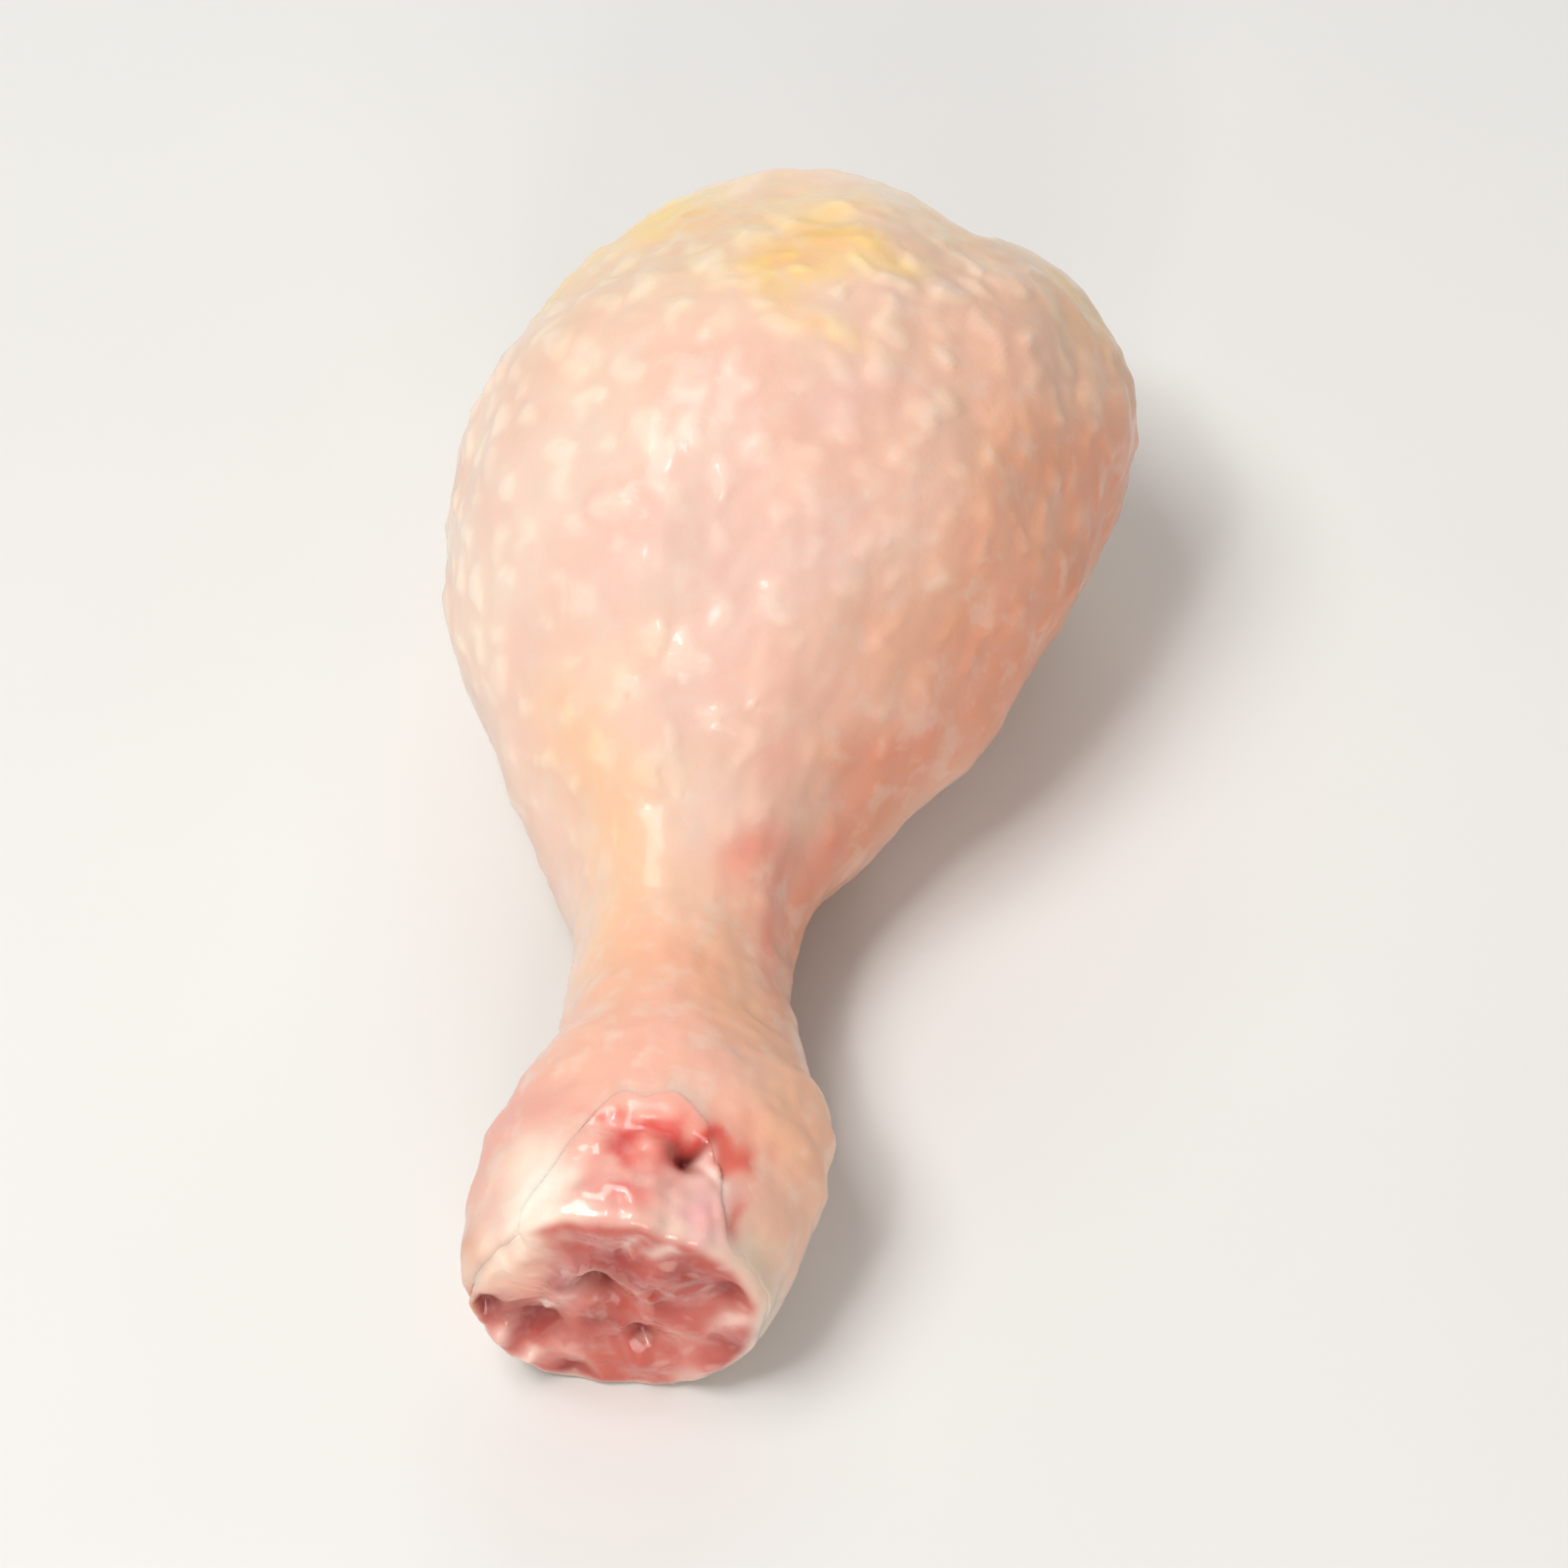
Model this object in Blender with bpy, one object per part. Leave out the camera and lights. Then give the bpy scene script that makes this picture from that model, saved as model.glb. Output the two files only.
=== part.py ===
"""A raw chicken drumstick lying on its side: a sleeve of skin, the flesh in it and the leg bone through both.

Metres, +Z up. The leg lies along Y, its thick knee end at +Y and its hock at -Y. Angles round it start at its
right side and turn over its upper side. Distances along it start at the tip of the knee end.
"""

import math

import bmesh
import bpy
import numpy as np

LENGTH = 0.118
AXIS_X, TIP_Y = -0.0015, 0.0595  # the leg's line and its knee tip, with the origin under the middle of the leg
KNEE_ROUNDING = 0.027  # how far along the leg the rounded knee end reaches
TURN_LENGTH = KNEE_ROUNDING * math.pi / 2  # length along the leg for each turn past that end
CONTACT_SOFTNESS = 0.0008  # height over which the skin turns up from the surface that it rests on

# The leg's outside: (distance along, reach to the left, reach to the right, height underneath, height on top)
STATIONS = (
    (0.000, 0.0218, 0.0140, 0.0030, 0.0352),
    (0.012, 0.0214, 0.0224, 0.0000, 0.0390),
    (0.026, 0.0236, 0.0296, -0.0016, 0.0442),
    (0.042, 0.0270, 0.0276, -0.0018, 0.0470),
    (0.058, 0.0244, 0.0204, 0.0000, 0.0394),
    (0.072, 0.0158, 0.0116, 0.0028, 0.0276),
    (0.084, 0.0092, 0.0090, 0.0040, 0.0214),
    (0.094, 0.0092, 0.0118, 0.0022, 0.0232),
    (0.106, 0.0116, 0.0150, -0.0008, 0.0256),
    (0.118, 0.0118, 0.0116, -0.0008, 0.0226),
)

# Swellings and hollows: (distance along, angle, reach along, reach round in degrees, height)
SWELLINGS = (
    (0.015, 18, 0.009, 20, 0.0022),  # shoulder of the thick end
    (0.054, -30, 0.012, 34, 0.0014),  # lower belly of the calf muscle
    (0.074, 22, 0.011, 20, -0.0014),  # hollow between that belly and the shin
    (0.066, 112, 0.016, 26, 0.0010),  # shin ridge
    (0.106, 176, 0.008, 34, 0.0008),  # inner knob of the hock
    (0.102, 8, 0.007, 30, 0.0010),  # outer knob of the hock
    (0.092, 262, 0.014, 24, 0.0012),  # heel tendon under the skin
)

SKIN_THICKNESS = 0.0018
PIECE_GAP = 0.0005  # clearance between skin, flesh and bone

# The edge of the skin round the knee opening, in quarter turns of the rounded end from its tip
KNEE_OPENING = 0.71
KNEE_EDGE_WAVES = ((1, 0.060, 28), (3, 0.014, 23), (5, 0.012, 120))  # (waves round the edge, height, phase)
KNEE_NOTCH = (59, 9, 0.07)  # angle, half-angle and depth of a notch where the skin is drawn back

# The cut through the hock, and the tear that runs up the skin from it
HOCK_CUT_SLANT = 0.0016  # how much further the left side of the cut reaches
TEAR_ANGLE = 84
TEAR_HALF_ANGLE = 30
TEAR_LENGTH = 0.0095

# The flesh where it shows: at the knee it swells out of the opening, at the hock it stops short of the skin
FLESH_SWELL = 0.13  # how far the bare flesh swells out, as a share of the width that shows
LIP_START, LIP_SLOPE = 0.0030, 0.16  # where its lip round the bone lies, and how much it follows the skin's edge
LIP_WIDTH, LIP_DEPTH = 0.0009, 0.0010
FACE_INSET = 0.0004
FACE_LUMPS = ((3, 0.7, 0.0005), (5, 2.6, 0.0004), (8, 4.4, 0.0002))  # (waves round the face, phase, height)
TEAR_FILL = (0.0020, 0.0052)  # from here to here past the torn edge, the flesh rises to fill the tear
TEAR_FILL_DEPTH = 0.0006  # how far inside the line of the skin's outside it then lies

# The leg bone: (distance along, half-width, half-height), and the line that it follows: (distance, x, z)
BONE_START, BONE_END = 0.0008, 0.1172
BONE_SIZES = (
    (0.0008, 0.0088, 0.0070),
    (0.0080, 0.0096, 0.0076),
    (0.0170, 0.0070, 0.0062),
    (0.0300, 0.0043, 0.0041),
    (0.0600, 0.0034, 0.0032),
    (0.0860, 0.0037, 0.0034),
    (0.0980, 0.0052, 0.0050),
    (0.1080, 0.0074, 0.0078),
    (0.1172, 0.0078, 0.0080),
)
BONE_LINE = (
    (0.000, -0.0038, 0.0168),
    (0.026, 0.0006, 0.0206),
    (0.070, -0.0004, 0.0150),
    (0.118, -0.0008, 0.0114),
)
KNEE_HEAD_ROUNDING = 0.0055
HOCK_HEAD_ROUNDING = 0.0024
HOCK_MOUTH_DEPTH = 0.0018  # how far inside the end of the bone the flesh closes round it
KNUCKLE_GROOVE = 0.18  # depth of the groove between the knuckles, as a share of the bone's radius
KNUCKLE_GROOVE_ANGLE = 98
KNUCKLE_START = (0.0045, 0.0075)  # half-heights between which the groove sets in

# Facets
LEG_COLUMNS = 44
LEG_ROWS = 29
END_CROWDING = 0.55  # how much closer together the rings of skin and flesh lie at both ends
EDGE_REACH = 5  # the higher, the fewer rings bend to follow the skin's edges
RIM_ROWS = 2
SWELL_ROWS = 6
FACE_ROWS = 2
TUNNEL_ROWS = 20
TUNNEL_CROWDING = 0.85
BONE_COLUMNS = 22
SHAFT_ROWS = 16
HEAD_ROWS = 4

SKIN_COLOUR = (0.88, 0.63, 0.50, 1.0)
FLESH_COLOUR = (0.74, 0.33, 0.26, 1.0)
BONE_COLOUR = (0.82, 0.58, 0.54, 1.0)


def smooth_through(places, values, at):
    """A natural cubic spline through the values at the places, read at other places."""
    x, y = np.asarray(places, float), np.asarray(values, float)
    gaps = np.diff(x)
    slopes = np.diff(y) / gaps
    count = len(x)
    matrix, right = np.eye(count), np.zeros(count)
    for i in range(1, count - 1):
        matrix[i, i - 1 : i + 2] = gaps[i - 1], 2 * (gaps[i - 1] + gaps[i]), gaps[i]
        right[i] = 6 * (slopes[i] - slopes[i - 1])
    bend = np.linalg.solve(matrix, right)
    i = np.clip(np.searchsorted(x, at) - 1, 0, count - 2)
    before, after, gap = at - x[i], x[i + 1] - at, gaps[i]
    curved = (bend[i] * after**3 + bend[i + 1] * before**3) / (6 * gap)
    straight = (y[i] / gap - bend[i] * gap / 6) * after + (y[i + 1] / gap - bend[i + 1] * gap / 6) * before
    return curved + straight


def smooth_step(value, start, end):
    share = np.clip((value - start) / (end - start), 0, 1)
    return share * share * (3 - 2 * share)


def turn_from(angle, degrees):
    """The angle in degrees between a direction and others round the leg, at most half a turn either way."""
    return np.degrees(np.angle(np.exp(1j * (angle - math.radians(degrees)))))


def ring_angles(columns):
    return np.linspace(0, 2 * math.pi, columns, endpoint=False)[None, :]


def rested(height):
    """Height above the surface that the leg lies on: flat where the skin presses down, with a soft turn up."""
    soft = CONTACT_SOFTNESS
    return np.where(height < -soft, 0.0, np.where(height < soft, (height + soft) ** 2 / (4 * soft), height))


def outside_at(turn, angle):
    """Points on the leg's outside. turn goes from 0 at the knee tip to 1 where its rounding ends, and on."""
    quarter = np.clip(turn, 0, 1) * math.pi / 2
    along = KNEE_ROUNDING * (1 - np.cos(quarter)) + TURN_LENGTH * np.maximum(turn - 1, 0)
    opened = np.sin(quarter)
    places, *reaches = np.array(STATIONS).T
    left, right, low, high = (smooth_through(places, reach, along) for reach in reaches)
    swell = np.zeros_like(along)
    for place, direction, reach_along, reach_round, height in SWELLINGS:
        swell += height * np.exp(
            -(((along - place) / reach_along) ** 2) - (turn_from(angle, direction) / reach_round) ** 2
        )
    x = AXIS_X + (right - left) / 2 + ((left + right) / 2 * opened + swell) * np.cos(angle)
    z = (high + low) / 2 + ((high - low) / 2 * opened + swell) * np.sin(angle)
    return np.stack([x, TIP_Y - along, rested(z)], axis=-1)


def turn_at(along):
    """The value of turn at a distance along the leg that lies past the knee rounding."""
    return 1 + (along - KNEE_ROUNDING) / TURN_LENGTH


def knee_edge(angle):
    middle, half_angle, depth = KNEE_NOTCH
    edge = KNEE_OPENING + depth * np.exp(-((turn_from(angle, middle) / half_angle) ** 2))
    for waves, height, phase in KNEE_EDGE_WAVES:
        edge = edge + height * np.sin(waves * angle + math.radians(phase))
    return edge


def hock_cut(angle, tear_length):
    """Distance along the leg of the cut through its hock, drawn back under the tear."""
    slant = HOCK_CUT_SLANT * (1 + np.cos(angle)) / 2
    tear = tear_length * np.exp(-((turn_from(angle, TEAR_ANGLE) / TEAR_HALF_ANGLE) ** 4))
    return LENGTH - SKIN_THICKNESS / 2 - slant - tear


def spread_rows(rows, crowding):
    """Shares from 0 to 1 for a column of rings, crowded towards both ends by a share of their even distance."""
    even = np.linspace(0, 1, rows)[:, None]
    return even - crowding * np.sin(2 * math.pi * even) / (2 * math.pi)


def leg_turns(hock_end, angle):
    """Rings from the knee edge to the hock end: straight across the leg, bending to the edges near them."""
    share = spread_rows(LEG_ROWS, END_CROWDING)
    plain_end = turn_at(LENGTH)
    straight = KNEE_OPENING + (plain_end - KNEE_OPENING) * share
    to_knee = (knee_edge(angle) - KNEE_OPENING) * (1 - share) ** EDGE_REACH
    to_hock = (turn_at(hock_end) - plain_end) * share**EDGE_REACH
    return straight + to_knee + to_hock


def outward_normals(points):
    """Unit normals of a grid whose rows are rings round the leg, from the knee to the hock."""
    round_the_leg = np.roll(points, -1, axis=1) - np.roll(points, 1, axis=1)
    normals = np.cross(round_the_leg, np.gradient(points, axis=0))
    return normals / np.linalg.norm(normals, axis=-1, keepdims=True)


def half_round_edge(outer, inner, ahead):
    """Rings that close a cut edge with a half circle from the outer ring to the inner one, bulging ahead."""
    middle, arm = (outer + inner) / 2, (outer - inner) / 2
    radius = np.linalg.norm(arm, axis=-1, keepdims=True)
    ahead = ahead - (ahead * arm).sum(-1, keepdims=True) * arm / radius**2
    ahead = ahead / np.linalg.norm(ahead, axis=-1, keepdims=True)
    turns = np.linspace(0, math.pi, RIM_ROWS + 2)[1:-1]
    return np.array([middle + arm * math.cos(a) + ahead * radius * math.sin(a) for a in turns])


def bone_places():
    """Distances along the bone for its rings, closer together on the two rounded heads."""
    quarters = np.linspace(0, math.pi / 2, HEAD_ROWS + 1)[1:, None]
    knee = BONE_START + KNEE_HEAD_ROUNDING * (1 - np.cos(quarters))
    hock = BONE_END - HOCK_HEAD_ROUNDING * (1 - np.cos(quarters[::-1]))
    shaft = knee[-1] + (hock[0] - knee[-1]) * spread_rows(SHAFT_ROWS + 2, TUNNEL_CROWDING)[1:-1]
    return np.concatenate([knee, shaft, hock])


def bone_at(along, angle, clearance):
    """Points on the bone's surface, or a clearance outside it."""
    places, *sizes = np.array(BONE_SIZES).T
    wide, tall = (smooth_through(places, size, along) for size in sizes)
    for rounding, inwards in ((KNEE_HEAD_ROUNDING, along - BONE_START), (HOCK_HEAD_ROUNDING, BONE_END - along)):
        rounded = np.sqrt(1 - (1 - np.clip(inwards / rounding, 0, 1)) ** 2)
        wide, tall = wide * rounded, tall * rounded
    knuckles = smooth_step(tall, *KNUCKLE_START)
    groove = 1 - KNUCKLE_GROOVE * knuckles * np.cos(angle - math.radians(KNUCKLE_GROOVE_ANGLE)) ** 8
    places, sideways, height = np.array(BONE_LINE).T
    x = AXIS_X + smooth_through(places, sideways, along) + (wide * groove + clearance) * np.cos(angle)
    z = smooth_through(places, height, along) + (tall * groove + clearance) * np.sin(angle)
    return np.stack([x, TIP_Y - along + 0 * angle, z], axis=-1)


def make_body(name, rings, is_sleeve, colour, roughness):
    """A closed mesh through rings of points: a sleeve whose last ring meets its first, or a closed bar."""
    rows, columns = rings.shape[:2]
    shape = bmesh.new()
    corners = [[shape.verts.new(point) for point in ring] for ring in rings]
    for i in range(rows if is_sleeve else rows - 1):
        near, far = corners[i], corners[(i + 1) % rows]
        for j in range(columns):
            k = (j + 1) % columns
            shape.faces.new((near[j], near[k], far[k], far[j]))
    if not is_sleeve:
        for i in (0, -1):
            tip = shape.verts.new(rings[i].mean(axis=0))
            for j in range(columns):
                shape.faces.new((corners[i][j], corners[i][(j + 1) % columns], tip))
    bmesh.ops.recalc_face_normals(shape, faces=shape.faces)
    mesh = bpy.data.meshes.new(name)
    shape.to_mesh(mesh)
    shape.free()
    mesh.shade_smooth()
    material = bpy.data.materials.new(name)
    material.use_nodes = True
    shader = material.node_tree.nodes["Principled BSDF"]
    shader.inputs["Base Color"].default_value = colour
    shader.inputs["Roughness"].default_value = roughness
    mesh.materials.append(material)
    bpy.context.collection.objects.link(bpy.data.objects.new(name, mesh))


def make_skin():
    """The skin is a sleeve with a rounded edge round the knee opening and another round the hock cut."""
    angle = ring_angles(LEG_COLUMNS)
    turn = leg_turns(hock_cut(angle, TEAR_LENGTH), angle)
    outer = outside_at(turn, angle + 0 * turn)
    inner = outer - SKIN_THICKNESS * outward_normals(outer)
    hock_rim = half_round_edge(outer[-1], inner[-1], outer[-1] - outer[-2])
    knee_rim = half_round_edge(inner[0], outer[0], outer[0] - outer[1])
    make_body("skin", np.concatenate([outer, hock_rim, inner[::-1], knee_rim]), True, SKIN_COLOUR, 0.40)


def make_bone():
    """The bone runs the length of the leg, with a broad head at the knee and two knuckles at the hock."""
    rings = bone_at(bone_places(), ring_angles(BONE_COLUMNS), 0.0)
    make_body("bone", rings, False, BONE_COLOUR, 0.30)


def make_flesh():
    """The flesh lines the skin, swells out of the knee opening, and has a tunnel that the bone runs through."""
    angle = ring_angles(LEG_COLUMNS)
    turn = leg_turns(hock_cut(angle, 0) - FACE_INSET, angle)
    outside = outside_at(turn, angle + 0 * turn)
    past_the_tear = (turn - turn_at(hock_cut(angle, TEAR_LENGTH))) * TURN_LENGTH
    filled = smooth_step(past_the_tear, *TEAR_FILL)[..., None]
    lining_depth = SKIN_THICKNESS + PIECE_GAP
    depth = lining_depth + (TEAR_FILL_DEPTH - lining_depth) * filled
    lining = outside - depth * outward_normals(outside)

    lip_along = LIP_START + LIP_SLOPE * (TIP_Y - lining[0, :, 1])
    lip = bone_at(lip_along, angle, PIECE_GAP + LIP_WIDTH)
    share = np.linspace(0, 1, SWELL_ROWS + 1)[:-1, None, None]
    swelling = lip + (lining[0] - lip) * share
    swell = FLESH_SWELL * np.linalg.norm(lining[0] - lip, axis=-1)
    swelling[..., 1] += swell * np.sin(math.pi * share[..., 0]) ** 2

    mouth = lip_along + LIP_DEPTH
    throat = BONE_END - HOCK_MOUTH_DEPTH
    tunnel = bone_at(mouth + (throat - mouth) * spread_rows(TUNNEL_ROWS, TUNNEL_CROWDING), angle, PIECE_GAP)

    share = np.linspace(0, 1, FACE_ROWS + 2)[1:-1, None, None]
    face = lining[-1] + (tunnel[-1] - lining[-1]) * share
    for waves, phase, height in FACE_LUMPS:
        face[..., 1] -= height * np.sin(waves * angle + phase) * np.sin(math.pi * share[..., 0])
    rings = np.concatenate([swelling, lining, face, tunnel[::-1]])
    make_body("flesh", rings, True, FLESH_COLOUR, 0.35)


def main():
    for old in list(bpy.data.objects):
        bpy.data.objects.remove(old, do_unlink=True)
    make_skin()
    make_flesh()
    make_bone()


main()
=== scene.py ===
import math

import bpy
import numpy as np
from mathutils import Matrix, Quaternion, Vector


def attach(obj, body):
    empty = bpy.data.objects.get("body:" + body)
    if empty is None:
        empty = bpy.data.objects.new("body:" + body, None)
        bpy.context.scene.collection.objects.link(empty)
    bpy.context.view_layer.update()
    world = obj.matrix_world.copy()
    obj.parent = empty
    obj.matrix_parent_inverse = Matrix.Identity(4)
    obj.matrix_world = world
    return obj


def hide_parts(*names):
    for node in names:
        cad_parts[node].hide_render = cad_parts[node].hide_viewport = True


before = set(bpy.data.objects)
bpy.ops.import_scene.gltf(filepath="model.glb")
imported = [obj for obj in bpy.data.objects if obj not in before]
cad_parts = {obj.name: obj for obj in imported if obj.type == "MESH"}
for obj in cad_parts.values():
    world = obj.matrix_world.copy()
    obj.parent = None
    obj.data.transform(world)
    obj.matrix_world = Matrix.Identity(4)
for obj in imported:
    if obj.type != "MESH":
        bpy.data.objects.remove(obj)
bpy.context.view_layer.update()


# The skin: one sleeve of raw chicken skin with its fat, about 2 mm thick, drawn off the thigh at the knee and
# cut through with the leg at the hock. It is soft and moist, stands up in a bump round each feather follicle,
# and holds to the flesh by its own membrane.
LENGTH = 0.118
AXIS_X, TIP_Y = -0.0015, 0.0595
KNEE_ROUNDING = 0.027
TURN_LENGTH = KNEE_ROUNDING * math.pi / 2
CONTACT_SOFTNESS = 0.0008
# The leg's outside: (distance along, reach to the left, reach to the right, height underneath, height on top)
STATIONS = (
    (0.000, 0.0218, 0.0140, 0.0030, 0.0352),
    (0.012, 0.0214, 0.0224, 0.0000, 0.0390),
    (0.026, 0.0236, 0.0296, -0.0016, 0.0442),
    (0.042, 0.0270, 0.0276, -0.0018, 0.0470),
    (0.058, 0.0244, 0.0204, 0.0000, 0.0394),
    (0.072, 0.0158, 0.0116, 0.0028, 0.0276),
    (0.084, 0.0092, 0.0090, 0.0040, 0.0214),
    (0.094, 0.0092, 0.0118, 0.0022, 0.0232),
    (0.106, 0.0116, 0.0150, -0.0008, 0.0256),
    (0.118, 0.0118, 0.0116, -0.0008, 0.0226),
)
# Swellings and hollows: (distance along, angle, reach along, reach round in degrees, height)
SWELLINGS = (
    (0.015, 18, 0.009, 20, 0.0022),
    (0.054, -30, 0.012, 34, 0.0014),
    (0.074, 22, 0.011, 20, -0.0014),
    (0.066, 112, 0.016, 26, 0.0010),
    (0.106, 176, 0.008, 34, 0.0008),
    (0.102, 8, 0.007, 30, 0.0010),
    (0.092, 262, 0.014, 24, 0.0012),
)
SKIN_THICKNESS = 0.0018
TORN_THICKNESS, TORN_REACH = 0.00006, 0.0009  # the membrane that it thins out to round the tear
CUT_THICKNESS, CUT_REACH = 0.0003, 0.004  # its edge at the hock, except where a roll of fat fills it
LIP_THICKNESS, LIP_VARIATION, LIP_REACH = 0.0010, 0.00016, 0.006  # its edge at the knee
FAT_ROLL_ANGLE, FAT_ROLL_HALF_ANGLE = 148, 38
DRAWN_BACK, DRAWN_BACK_ANGLE, DRAWN_BACK_HALF_ANGLE = 0.0009, 252, 62  # how far behind the cut, underneath
KNEE_OPENING = 0.71
KNEE_EDGE_WAVES = ((1, 0.060, 28), (3, 0.014, 23), (5, 0.012, 120))
KNEE_NOTCH = (59, 9, 0.07)
HOCK_CUT_SLANT = 0.0016
TEAR_ANGLE, TEAR_HALF_ANGLE, TEAR_LENGTH = 84, 30, 0.0095
KNEE_RAGGEDNESS, HOCK_RAGGEDNESS, TEAR_RAGGEDNESS = 0.00035, 0.00022, 0.00030
SKIN_COLUMNS, SKIN_ROWS, SKIN_RIM_ROWS, SKIN_LINING_ROWS = 352, 232, 7, 28
ROW_CROWDING, LINING_CROWDING = 0.30, 0.85  # how closely rings stand towards both ends
RESTING = (0.0002, 0.0040)  # heights between which relief fades, down to where the leg lies flat
# Unevenness of the skin: (length of its waves, height)
SKIN_WAVES = ((0.015, 0.00028), (0.0062, 0.00007), (0.0024, 0.00003))
NECK_WAVES = ((0.0042, 0.00015), (0.0016, 0.00004))  # of the wrinkles round its neck
LIP_CURL, LIP_CURL_REACH = 0.0004, 0.0016
KNEE_FAT = (0.0100, 104, 0.0070, 26, 0.0011)  # a lump of fat, in the swellings' terms
FOLLICLE_SPACING, FOLLICLE_JITTER, FOLLICLE_SLANT = 0.0041, 0.0007, 38
FOLLICLE_LENGTH, FOLLICLE_WIDTH, FOLLICLE_HEIGHT = 0.00160, 0.00115, 0.00038
FOLLICLE_WARP = 0.00045
FOLLICLE_STEEP, FOLLICLE_LONG = 1.35, 0.85  # how its bell is drawn together ahead, and drawn out behind
FOLLICLE_FIELD = 0.006  # how far along the leg a follicle is felt
PORE_RADIUS, PORE_DEPTH = 0.00026, 0.00008


def srgb(red, green, blue):
    """A colour given as 0 to 255, as the linear values that a shader takes."""
    share = np.array([red, green, blue]) / 255
    return np.where(share > 0.04045, ((share + 0.055) / 1.055) ** 2.4, share / 12.92)


SKIN_CREAM = srgb(237, 221, 205)
SKIN_PINK = srgb(229, 198, 188)
SKIN_PEACH = srgb(247, 185, 149)
# Darker orange for the right side: partly the skin's own warmer tone, partly painted shade.
SKIN_AMBER_AND_SHADE = srgb(226, 136, 94)
SKIN_ROSE = srgb(240, 174, 156)
SKIN_RED = srgb(224, 98, 82)
SKIN_FAT = srgb(254, 216, 132)
SKIN_DEEP_FAT = srgb(253, 206, 108)
SKIN_RIM = srgb(254, 232, 210)
# A paler pink for the torn edge, partly painted light there, and a browner pink for between the bumps.
SKIN_TORN_EDGE_AND_LIGHT, SKIN_VALLEY = srgb(255, 190, 170), srgb(222, 172, 154)
SKIN_BUMP, SKIN_PORE = srgb(241, 223, 206), srgb(190, 112, 88)
# What tints the skin: (distance along, angle, reach along, reach round in degrees, colour, strength)
SKIN_TINTS = (
    (0.030, 150, 0.030, 60, SKIN_CREAM, 0.60),
    (0.052, 76, 0.020, 28, srgb(240, 198, 190), 0.60),
    # The next four tints make the right side and the side under it warmer and darker: partly the skin's own
    # tone, partly painted shade on the side away from the light.
    (0.046, 26, 0.028, 36, SKIN_PEACH, 0.90),
    (0.042, -8, 0.028, 28, SKIN_AMBER_AND_SHADE, 0.90),
    (0.072, -6, 0.018, 32, SKIN_AMBER_AND_SHADE, 0.85),
    (0.060, -70, 0.034, 40, SKIN_PEACH, 0.70),
    (0.026, 110, 0.020, 50, SKIN_FAT, 0.40),
    (0.0185, 122, 0.0065, 16, SKIN_FAT, 0.97),
    (0.0310, 88, 0.0060, 9, SKIN_DEEP_FAT, 0.92),
    (0.0360, 80, 0.0034, 6, SKIN_FAT, 0.75),
    (0.0170, 97, 0.0028, 14, SKIN_RIM, 0.95),
    (0.0190, 79, 0.0030, 12, SKIN_RIM, 0.90),
    (0.044, 162, 0.024, 22, SKIN_RIM, 0.85),
    (0.0220, 142, 0.0065, 20, SKIN_FAT, 0.80),
    (0.022, 200, 0.010, 26, SKIN_FAT, 0.32),
    (0.026, -60, 0.012, 30, SKIN_FAT, 0.50),
    (0.018, 30, 0.007, 30, SKIN_FAT, 0.45),
    (0.079, 124, 0.011, 24, SKIN_FAT, 0.45),
    (0.092, 80, 0.016, 80, SKIN_PEACH, 0.90),
    (0.079, 50, 0.0045, 16, SKIN_RED, 0.55),
    (0.084, 30, 0.008, 9, SKIN_RED, 0.50),
    (0.074, 14, 0.008, 10, SKIN_RED, 0.45),
    (0.104, 84, 0.008, 50, SKIN_ROSE, 0.65),
    # Pinker and darker on the left of the hock: partly its own tone, partly painted shade.
    (0.107, 148, 0.009, 34, srgb(232, 160, 144), 0.85),
    (0.104, 20, 0.012, 30, srgb(254, 192, 154), 0.85),
    (0.1165, 134, 0.0034, 28, SKIN_RIM, 0.95),
    (0.1165, 182, 0.0036, 30, srgb(218, 150, 120), 0.88),
)
# What tints the skin and the flesh round the tear, in the same terms
WOUND_TINTS = (
    (0.1084, 74, 0.0034, 24, srgb(252, 152, 134), 0.50),
    (0.1106, 82, 0.0022, 20, srgb(244, 132, 118), 0.75),
    (0.1093, 80, 0.0008, 14, srgb(214, 60, 56), 0.75),
    (0.1090, 64, 0.0011, 13, srgb(222, 54, 50), 0.93),
    (0.1096, 54, 0.0012, 7, srgb(222, 70, 62), 0.70),
    (0.1092, 52, 0.0030, 14, srgb(240, 136, 116), 0.45),
    (0.1106, 91, 0.0013, 6, srgb(204, 50, 48), 0.90),
    (0.1086, 100, 0.0005, 9, srgb(230, 84, 76), 0.60),
    # The hole in the wound: blood red darkened by painted shade.
    (0.1109, 66, 0.0016, 8, srgb(120, 12, 18), 0.98),
    (0.1119, 74, 0.0012, 7, srgb(206, 70, 66), 0.60),
    (0.1110, 58, 0.0007, 4, srgb(255, 222, 210), 0.97),
    (0.1116, 51, 0.0008, 4, srgb(255, 218, 206), 0.95),
    (0.1124, 44, 0.0009, 3, srgb(254, 212, 198), 0.90),
    (0.1144, 55, 0.0019, 10, srgb(236, 180, 180), 0.97),
    (0.1148, 84, 0.0021, 16, srgb(224, 122, 114), 0.92),
    (0.1137, 42.5, 0.0013, 4, srgb(206, 62, 60), 0.80),
    (0.1136, 44, 0.0024, 8, srgb(240, 150, 136), 0.45),
    # The top of the fat roll: its cream fat, with a painted highlight on it.
    (0.1150, 119, 0.0030, 13, srgb(255, 240, 224), 0.97),
)


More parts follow.
